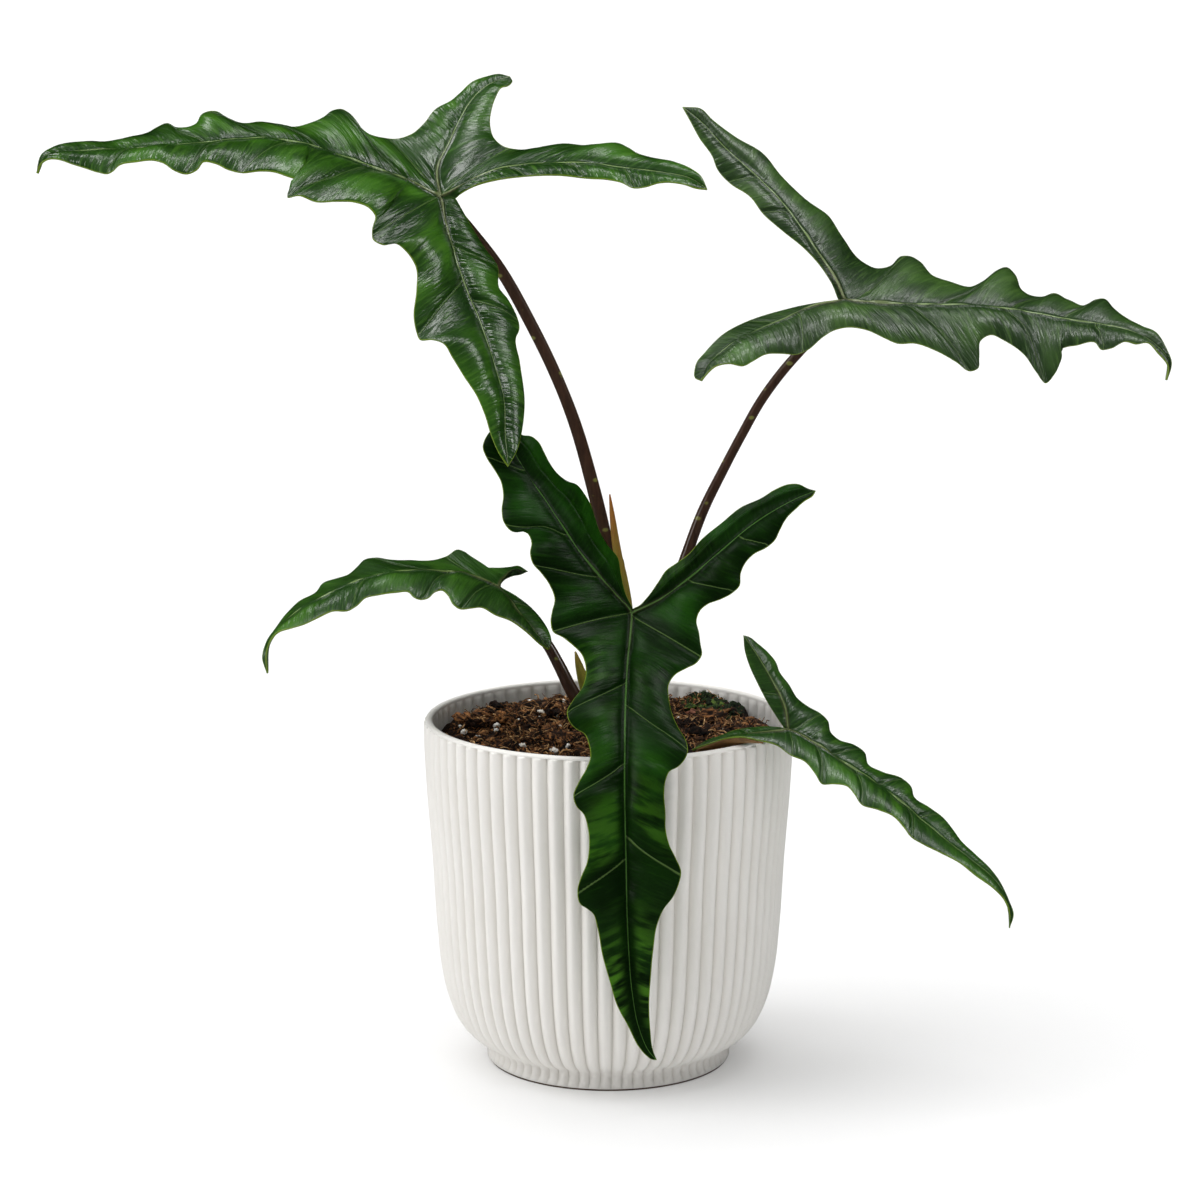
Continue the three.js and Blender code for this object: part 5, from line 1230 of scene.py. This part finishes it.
def grow_blade(name, leaf, seed):
    """A whole blade: its main veins, then one field after the other, then both sides."""
    junction, sinus = np.array(leaf["junction"], float), np.array(leaf["sinus"], float)
    veins = [smooth_line([junction, *vein], VEIN_STEP) for vein in leaf["veins"]]
    longest = max(running(v)[-1] for v in veins)
    points, halves, relief, below = [], [], [], []

    def add_points(places, half, high, low):
        first = len(points)
        points.extend(places)
        halves.extend(half)
        relief.extend(high)
        below.extend(low)
        return np.arange(first, len(points))

    vein_ids, vein_size = [], []
    for number, vein in enumerate(veins):
        run = running(vein)
        size = (1 - 0.8 * run / run[-1]) * (0.55 + 0.45 * run[-1] / longest)
        half = HALF_AT_JUNCTION + (HALF_AT_VEIN_TIP - HALF_AT_JUNCTION) * np.minimum(1, run / 20)
        keep = slice(0 if number == 0 else 1, None)
        ids = add_points(vein[keep], half[keep], RIDGE * size[keep], BELOW_VEIN * size[keep])
        vein_ids.append(ids if number == 0 else np.concatenate([vein_ids[0][:1], ids]))
        vein_size.append(size)
    sinus_id = add_points([sinus], [HALF_AT_EDGE], [0], [0])[0]

    faces, marks, loop, grids = [], [], [], []
    shared_row = None

    def face(corners, corner_marks):
        keep = [n for n in range(len(corners)) if corners[n] != corners[n - 1]]
        if len(keep) > 2:
            faces.append([int(corners[n]) for n in keep])
            marks.append([corner_marks[n] for n in keep])

    for k, inner in enumerate(leaf["edges"]):
        before = veins[k - 1] if k > 0 else None
        after = veins[k] if k < len(veins) else None
        start = before[-1] if before is not None else sinus
        end = after[-1] if after is not None else sinus
        edge = smooth_line([start, *inner, end], EDGE_STEP)
        if before is None:
            spine, spine_ids, size = after, vein_ids[0], vein_size[0]
            junction_at = 0
        elif after is None:
            spine, spine_ids, size = before[::-1], vein_ids[-1][::-1], vein_size[-1][::-1]
            junction_at = running(before)[-1]
        else:
            spine = np.concatenate([before[::-1], after[1:]])
            spine_ids = np.concatenate([vein_ids[k - 1][::-1], vein_ids[k][1:]])
            size = np.concatenate([vein_size[k - 1][::-1], vein_size[k][1:]])
            junction_at = running(before)[-1]
        ending = "first" if before is None else "last" if after is None else ""
        crest_at, arch = leaf.get("creased", {}).get(k, (None, leaf["arch"][k]))
        f = grow_field(spine, edge, junction_at, arch, crest_at, ending)
        rows, columns = f["share"].shape
        spine_run = running(spine)
        vein_here = np.interp(f["feet"], spine_run, size)[:, None]
        high = field_relief(f, vein_here, crest_at, seed)
        low = vein_here * BELOW_VEIN * np.exp(-(f["out"] / 1.1) ** 2)
        half = HALF_BETWEEN + (HALF_AT_EDGE - HALF_BETWEEN) * f["share"] ** 3
        to_junction = np.linalg.norm(f["places"] - junction, axis=2)
        half += (HALF_AT_JUNCTION - half) * np.exp(-(f["out"] / 2.5) ** 2) * np.exp(-to_junction / 10)

        ids = np.zeros((rows, columns), int)
        for i in range(rows):
            is_start, is_end = i == 0, i == rows - 1
            if (is_start and before is not None) or (is_end and after is not None):
                ids[i] = spine_ids[0] if is_start else spine_ids[-1]
            elif is_start:
                ids[i, :-1] = add_points(f["places"][i, :-1], half[i, :-1], high[i, :-1], low[i, :-1])
                ids[i, -1] = sinus_id
                shared_row = ids[i].copy()
            elif is_end:
                ids[i] = shared_row
            else:
                ids[i] = add_points(f["places"][i], half[i], high[i], low[i])
        loop.extend(ids[:-1, -1])
        grids.append((ids, f["out"], f["feet"], spine_ids, spine_run))

        # What each corner tells the surface: where its veinlet ends and how far it is from the vein
        # and the edge, how far the nearest side vein is, and how pale or brown the blade is there
        pale = np.zeros((rows, columns))
        for middle, reach, strength in leaf["pale"]:
            to_middle = np.linalg.norm(f["places"] - np.array(middle), axis=2)
            pale += strength * np.exp(-(to_middle / reach) ** 2)
        mark = np.stack([
            f["flow"] + GRAIN_APART * k, f["out"], f["from_edge"], f["phase"] + VEINS_APART * k,
            f["spacing"], pale, np.exp(-(to_junction / BROWN_REACH) ** 2),
            np.repeat(vein_here, columns, 1)], axis=-1)
        by_foot = [np.interp(spine_run, f["feet"], mark[:, 0, n]) for n in range(mark.shape[-1])]
        spine_mark = np.stack(by_foot, axis=-1)
        spine_mark[:, 1] = 0
        spine_mark[:, 2] = np.interp(spine_run, f["feet"], f["width"])

        i = j = 0
        while i < len(spine) - 1 or j < rows - 1:
            spine_next = spine_run[i + 1] if i < len(spine) - 1 else math.inf
            row_next = f["feet"][j + 1] if j < rows - 1 else math.inf
            if row_next <= spine_next:
                face([spine_ids[i], ids[j + 1, 0], ids[j, 0]], [spine_mark[i], mark[j + 1, 0], mark[j, 0]])
                j += 1
            else:
                face([spine_ids[i], spine_ids[i + 1], ids[j, 0]],
                     [spine_mark[i], spine_mark[i + 1], mark[j, 0]])
                i += 1
        for i in range(rows - 1):
            for c in range(columns - 1):
                face([ids[i, c], ids[i + 1, c], ids[i + 1, c + 1], ids[i, c + 1]],
                     [mark[i, c], mark[i + 1, c], mark[i + 1, c + 1], mark[i, c + 1]])

    points, halves = np.array(points), np.array(halves)
    relief, below = np.array(relief), np.array(below)
    normals = blade_normals(points, faces)
    for ids in vein_ids:
        for c in range(3):
            normals[ids[1:], c] = eased(normals[ids[1:], c], 4)
    # Close to a vein the blade stands up along the vein's own normal, so that the two sides of a
    # fold don't meet over it
    for ids, out, feet, spine_ids, spine_run in grids:
        share = np.exp(-(out / STAND_UP_REACH) ** 2)[..., None]
        at_foot = places_at(normals[spine_ids], spine_run, feet)[:, None]
        turned = at_foot * share + normals[ids] * (1 - share)
        normals[ids] = turned / np.linalg.norm(turned, axis=2)[..., None]
    upper = points + normals * (halves + relief)[:, None]
    lower = points + normals * (-halves + 0.5 * relief - below)[:, None]
    return closed_blade(name, upper, lower, faces, marks, loop)


# Cuticle of the blade: dark green under a waxy shine, embossed with fine veinlets that run from the
# main veins to the edge. Main veins are pale, with painted shade in the grooves beside them. Along the
# veins the blade is darker, partly its own tone and partly painted shade in the valleys. The edge is a
# thin yellow-green line, and the underside is lighter and dull. Distances on the blade are in millimetres.
def cuticle(name, dark, light, yellow, vein, brown, mottled, relief, shine, wax, gloss):
    material, tree, shader = new_material(
        name, shine, 1.45, Coat_Weight=wax, Coat_Roughness=shine * 0.6, Specular_IOR_Level=gloss)
    told = []
    for label in ("grain", "veins", "tone"):
        attribute = add(tree, "ShaderNodeAttribute", attribute_name=label).outputs["Vector"]
        told += add(tree, "ShaderNodeSeparateXYZ", {0: attribute}).outputs
    flow, out, from_edge, phase, spacing, under_side, pale_here, brown_here, vein_size = told

    # Lines on and beside the side veins, the main veins and the edge
    to_line = add(tree, "ShaderNodeMath", {0: phase, 1: 0.5}, operation="PINGPONG")
    to_side = add(tree, "ShaderNodeMath", {0: to_line, 1: spacing}, operation="MULTIPLY")
    thick = add(tree, "ShaderNodeMath", {0: vein_size, 1: 0.1}, operation="ADD")
    in_widths = add(tree, "ShaderNodeMath", {0: out, 1: thick}, operation="DIVIDE")
    lines = []
    for distance, inner, outer in ((to_side, 0.1, 0.42), (to_side, 0.2, 2.4), (in_widths, 0.25, 0.55),
                                   (in_widths, 1.3, 2.4), (from_edge, 0.12, 0.4), (out, 0.4, 1.2)):
        lines.append(add(tree, "ShaderNodeMapRange", {0: distance, 1: inner, 2: outer, 3: 1, 4: 0},
                         interpolation_type="SMOOTHSTEP"))
    side_line, side_valley, main_line, beside_main, edge_line, on_main = lines
    # Painted shade: the blade is darkened in the grooves beside the raised main veins
    off_main = add(tree, "ShaderNodeMapRange", {0: in_widths, 1: 0.5, 2: 0.9},
                   interpolation_type="SMOOTHSTEP")
    main_groove_shade = add(tree, "ShaderNodeMath", {0: off_main, 1: beside_main}, operation="MULTIPLY")

    # Grain at four sizes, drawn out from the main vein to the edge
    on_blade = add(tree, "ShaderNodeCombineXYZ", {0: flow, 1: out})
    grains = []
    for across_grain, along_grain, detail in ((0.25, 0.2, 2), (1.1, 0.1, 2), (0.4, 0.07, 0), (0.3, 0.06, 3)):
        spot = add(tree, "ShaderNodeVectorMath", {0: on_blade, 1: (across_grain, along_grain, 0)},
                   operation="MULTIPLY")
        grains.append(add(tree, "ShaderNodeTexNoise", {"Vector": spot, "Scale": 1.0, "Detail": detail}))
    sway, veinlets, coarse, patch = grains

    # Veinlets a millimetre or two apart, joined into a net of long meshes that swell between them
    net_spot = add(tree, "ShaderNodeVectorMath", {0: on_blade, 1: (0.55, 0.13, 0)}, operation="MULTIPLY")
    net_spot = add(tree, "ShaderNodeVectorMath", {
        0: sway.outputs["Color"], 1: (0.9, 0.9, 0.9), 2: net_spot}, operation="MULTIPLY_ADD")
    to_veinlet = add(tree, "ShaderNodeTexVoronoi", {"Vector": net_spot, "Scale": 1.0},
                     feature="DISTANCE_TO_EDGE", voronoi_dimensions="2D")
    where = add(tree, "ShaderNodeTexCoord").outputs["Object"]
    net = add(tree, "ShaderNodeTexNoise", {"Vector": where, "Scale": 2200, "Detail": 1})
    broad = add(tree, "ShaderNodeTexNoise", {"Vector": where, "Scale": 45, "Detail": 3})
    spans = []
    for value, low, high in ((to_veinlet, 0, 0.28), (to_line, 0.06, 0.3), (out, 1.5, 6), (broad, 0.38, 0.64),
                             (veinlets, 0.5, 0.72), (coarse, 0.5, 0.72), (patch, 0.4, 0.6)):
        spans.append(add(tree, "ShaderNodeMapRange", {0: value, 1: low, 2: high},
                         interpolation_type="SMOOTHSTEP"))
    swollen, off_side, clear_of_main, broad_mottle, fine_yellow, broad_yellow, patch_here = spans
    between = add(tree, "ShaderNodeMath", {0: off_side, 1: clear_of_main}, operation="MULTIPLY")

    # Colours laid over each other from the ground up
    # Light green in broad random patches, held back near the veins: partly own tone, partly painted shade in
    # the valleys
    tone_and_valley_shade = add(tree, "ShaderNodeMath", {0: between, 1: 0.75, 2: 0.25}, operation="MULTIPLY_ADD")
    tone_and_valley_shade = add(tree, "ShaderNodeMath", {0: broad_mottle, 1: tone_and_valley_shade}, operation="MULTIPLY")
    broad_yellow = add(tree, "ShaderNodeMath", {0: broad_yellow, 1: between}, operation="MULTIPLY")
    pale_patch = add(tree, "ShaderNodeMath", {0: pale_here, 1: patch_here}, operation="MULTIPLY")
    pale_patch = add(tree, "ShaderNodeMath", {0: pale_patch, 1: between}, operation="MULTIPLY")
    browned = add(tree, "ShaderNodeMath", {0: brown_here, 1: on_main}, operation="MULTIPLY")
    base = linear(dark)
    for here, strength, colour in (
            (tone_and_valley_shade, 1, light), (fine_yellow, mottled, yellow), (broad_yellow, mottled, yellow),
            (pale_patch, 1, "#427614"), (side_line, 0.4, "#6f8f4a"), (main_groove_shade, 0.6, dark),
            (main_line, 0.8, vein), (browned, brown, "#64503f"), (edge_line, 0.6, "#86a02c"),
            (under_side, 0.6, "#4c6b38")):
        share = add(tree, "ShaderNodeMath", {0: here, 1: strength}, operation="MULTIPLY")
        base = add(tree, "ShaderNodeMix", {0: share, 6: base, 7: linear(colour)}, data_type="RGBA")
    tree.links.new(base.outputs[2], shader.inputs["Base Color"])

    # Relief: the grains fade out on the main veins, and side veins stand in the bottom of valleys
    height = 0
    for grain, lift in ((veinlets, 0.13), (swollen, 0.05), (coarse, 0.32), (net, 0.05)):
        height = add(tree, "ShaderNodeMath", {0: grain, 1: lift, 2: height}, operation="MULTIPLY_ADD")
    smooth_here = add(tree, "ShaderNodeMath", {0: main_line, 1: -0.8, 2: 1}, operation="MULTIPLY_ADD")
    height = add(tree, "ShaderNodeMath", {0: height, 1: smooth_here}, operation="MULTIPLY")
    for line, lift in ((side_line, 0.35), (side_valley, -0.55)):
        height = add(tree, "ShaderNodeMath", {0: line, 1: lift, 2: height}, operation="MULTIPLY_ADD")
    bump = add(tree, "ShaderNodeBump", {"Height": height, "Strength": 1.0, "Distance": relief * MM})
    tree.links.new(bump.outputs[0], shader.inputs["Normal"])
    tree.links.new(bump.outputs[0], shader.inputs["Coat Normal"])
    dull = add(tree, "ShaderNodeMath", {0: under_side, 1: 0.3, 2: shine}, operation="MULTIPLY_ADD")
    dull = add(tree, "ShaderNodeMath", {0: broad, 1: 0.12, 2: dull}, operation="MULTIPLY_ADD")
    tree.links.new(dull.outputs[0], shader.inputs["Roughness"])
    return material


upper_skin = cuticle("waxy_blade_cuticle", dark="#18380c", light="#3a6a1a", yellow="#55852a",
                     vein="#8aa563", brown=0.4, mottled=0.35, relief=0.95, shine=0.28, wax=0.9, gloss=0.25)
satin_skin = cuticle("satin_blade_cuticle", dark="#1b3510", light="#37581f", yellow="#557a33",
                     vein="#8aa563", brown=0.4, mottled=0.35, relief=1.1, shine=0.38, wax=0.7, gloss=0.5)
front_skin = cuticle("dark_blade_cuticle", dark="#071d02", light="#153e06", yellow="#2a5a0e",
                     vein="#4b7533", brown=0.15, mottled=0.12, relief=0.6, shine=0.3, wax=0.0, gloss=0.14)
lower_skin = cuticle("young_blade_cuticle", dark="#1d3f10", light="#3a681e", yellow="#55852a",
                     vein="#7f9c55", brown=0.4, mottled=0.3, relief=1.0, shine=0.32, wax=0.5, gloss=0.5)
LEAVES = {
    "upper_left": (UPPER_LEFT, upper_skin), "upper_right": (UPPER_RIGHT, satin_skin),
    "front": (FRONT, front_skin), "lower_left": (LOWER_LEFT, lower_skin),
    "lower_right": (LOWER_RIGHT, lower_skin),
}
FOLD_SEED_STEP = 7.3
for seed, (leaf_name, (leaf, skin)) in enumerate(LEAVES.items()):
    piece = grow_blade("blade_skin_" + leaf_name, leaf, seed * FOLD_SEED_STEP)
    piece.data.materials.append(skin)
    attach(piece, "root")
    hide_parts("blade_" + leaf_name)


# Hem of the lower right leaf: where its left lobe rests over the pot, the lower edge has rolled under.
# It shows the dry orange-brown underside of the blade below the green edge.
HEM_THICK = 0.5
HEM_BULGE = 0.8
HEM_ROWS = 36
HEM_COLUMNS = 6
HEM_FACES = (0, -0.9, 0.43)
FOLD_LINE = [(60.5, -54.9, 144.2), (57, -54.8, 144.9), (52, -53.8, 145.7), (45.5, -51.9, 144.7),
             (39, -49, 141.8), (34.5, -46.8, 139.6)]
FREE_LINE = [(60, -54.5, 143.8), (56.5, -53.2, 143.5), (51.5, -51, 142.9), (45.5, -49, 141),
             (39.5, -46.8, 139.3), (35, -45.9, 138.9)]


def evenly(points, count):
    line = smooth_line(points, 0.5)
    run = running(line)
    return places_at(line, run, np.linspace(0, run[-1], count))


fold, free = evenly(FOLD_LINE, HEM_ROWS), evenly(FREE_LINE, HEM_ROWS)
share = np.linspace(0, 1, HEM_COLUMNS)[None, :, None]
middle = fold[:, None] * (1 - share) + free[:, None] * share
middle = middle + np.array([0, -HEM_BULGE, 0]) * np.sin(math.pi * share)
outward = np.array(HEM_FACES) * HEM_THICK / 2
count = HEM_ROWS * HEM_COLUMNS
points = np.concatenate([(middle + outward).reshape(-1, 3), (middle - outward).reshape(-1, 3)])
faces = []
for row in range(HEM_ROWS - 1):
    for column in range(HEM_COLUMNS - 1):
        a = row * HEM_COLUMNS + column
        b, c, d = a + 1, a + HEM_COLUMNS + 1, a + HEM_COLUMNS
        faces.append((a, d, c, b))
        faces.append((a + count, b + count, c + count, d + count))
border = list(range(HEM_COLUMNS))
border += [row * HEM_COLUMNS + HEM_COLUMNS - 1 for row in range(1, HEM_ROWS)]
border += [(HEM_ROWS - 1) * HEM_COLUMNS + column for column in range(HEM_COLUMNS - 2, -1, -1)]
border += [row * HEM_COLUMNS for row in range(HEM_ROWS - 2, 0, -1)]
for n, a in enumerate(border):
    b = border[(n + 1) % len(border)]
    faces.append((a, b, b + count, a + count))
hem_mesh = mesh_from("rolled_under_hem", points, faces)

# Dry underside of a blade: dull, tan to orange-brown in streaks
dry_skin, tree, shader = new_material("dry_blade_underside", 0.6, 1.42)
where = add(tree, "ShaderNodeTexCoord").outputs["Object"]
streaks = add(tree, "ShaderNodeTexNoise", {"Vector": where, "Scale": 260, "Detail": 4})
tint = add(tree, "ShaderNodeMix", {0: streaks, 6: linear("#4a2f16"), 7: linear("#94703f")}, data_type="RGBA")
tree.links.new(tint.outputs[2], shader.inputs["Base Color"])
hem_mesh.materials.append(dry_skin)
hem = place("rolled_under_hem", hem_mesh)
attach(hem, "root")


# The new leaf, still rolled to a point, and the papery sheath that wrapped an older stalk. Both come
# up between the stalks: olive at the foot, drying to orange-brown at the tip.
ROLL_STEP = 1.2
ROLL_WIDTH = 0.9
ROLL_SIDES = 28
SPEAR = [
    (11, -3, ROOT_DEPTH, 1.8), (10.5, -3, 145, 2.2), (9, -3, 170, 2.2), (7.5, -3, 189, 2.1),
    (5, -3, 203, 2), (3, -3, 214, 1.8), (1.5, -3, 225.5, 1.2), (0.5, -3, 234, 0.35),
]
SHEATH = [
    (0, 6, ROOT_DEPTH, 2.6), (-2, 5.5, 135, 2.9), (-7, 4.5, 147, 3), (-10, 4, 156, 2.6),
    (-12, 3.5, 163, 1.7), (-13.4, 3, 168.5, 0.4),
]


def drying_skin(name, foot_colour, middle_colour, tip_colour, bottom, top, roughness):
    """Skin that dries from the tip down: the colour follows the height."""
    material, tree, shader = new_material(name, roughness, 1.42)
    where = add(tree, "ShaderNodeTexCoord").outputs["Object"]
    height = add(tree, "ShaderNodeSeparateXYZ", {0: where}).outputs[2]
    drawn_out = add(tree, "ShaderNodeMapping", {0: where, 3: (600, 600, 90)})
    blotch = add(tree, "ShaderNodeTexNoise", {"Vector": drawn_out, "Scale": 1.0, "Detail": 4})
    rise = add(tree, "ShaderNodeMapRange", {0: height, 1: bottom * MM, 2: top * MM})
    uneven = add(tree, "ShaderNodeMath", {0: blotch, 1: 0.3, 2: -0.15}, operation="MULTIPLY_ADD")
    rise = add(tree, "ShaderNodeMath", {0: rise, 1: uneven}, operation="ADD")
    ramp = add(tree, "ShaderNodeValToRGB", {0: rise})
    ramp.color_ramp.elements[0].color = linear(foot_colour)
    ramp.color_ramp.elements[1].color = linear(tip_colour)
    ramp.color_ramp.elements.new(0.6).color = linear(middle_colour)
    tree.links.new(ramp.outputs[0], shader.inputs["Base Color"])
    bump = add(tree, "ShaderNodeBump", {"Height": blotch, "Distance": 0.3 * MM})
    tree.links.new(bump.outputs[0], shader.inputs["Normal"])
    return material


def rolled(t, angle):
    """One edge of the rolled leaf laps over the other, in a seam that winds up the spear."""
    seam = (angle - t * 5) % math.tau
    return 1 + 0.16 * math.exp(-(seam / 0.9) ** 2) - 0.1 * math.exp(-((math.tau - seam) / 0.35) ** 2)


# Waxy young leaf, dull at the tip, and a paper-dry sheath
leaf_skin = drying_skin("young_rolled_leaf", "#6f6a22", "#8a7a2a", "#9a5a20", 150, 236, 0.4)
sheath_skin = drying_skin("papery_sheath", "#8a9a30", "#a39a38", "#a07a2c", 140, 174, 0.6)
for slot, points, skin in (("spear", SPEAR, leaf_skin), ("sheath", SHEATH, sheath_skin)):
    middle = smooth_line(points, ROLL_STEP)
    piece = grow_round(slot + "_skin", middle[:, :3], middle[:, 3] * ROLL_WIDTH, ROLL_SIDES, rolled)
    piece.data.materials.append(skin)
    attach(piece, "root")
    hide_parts(slot)
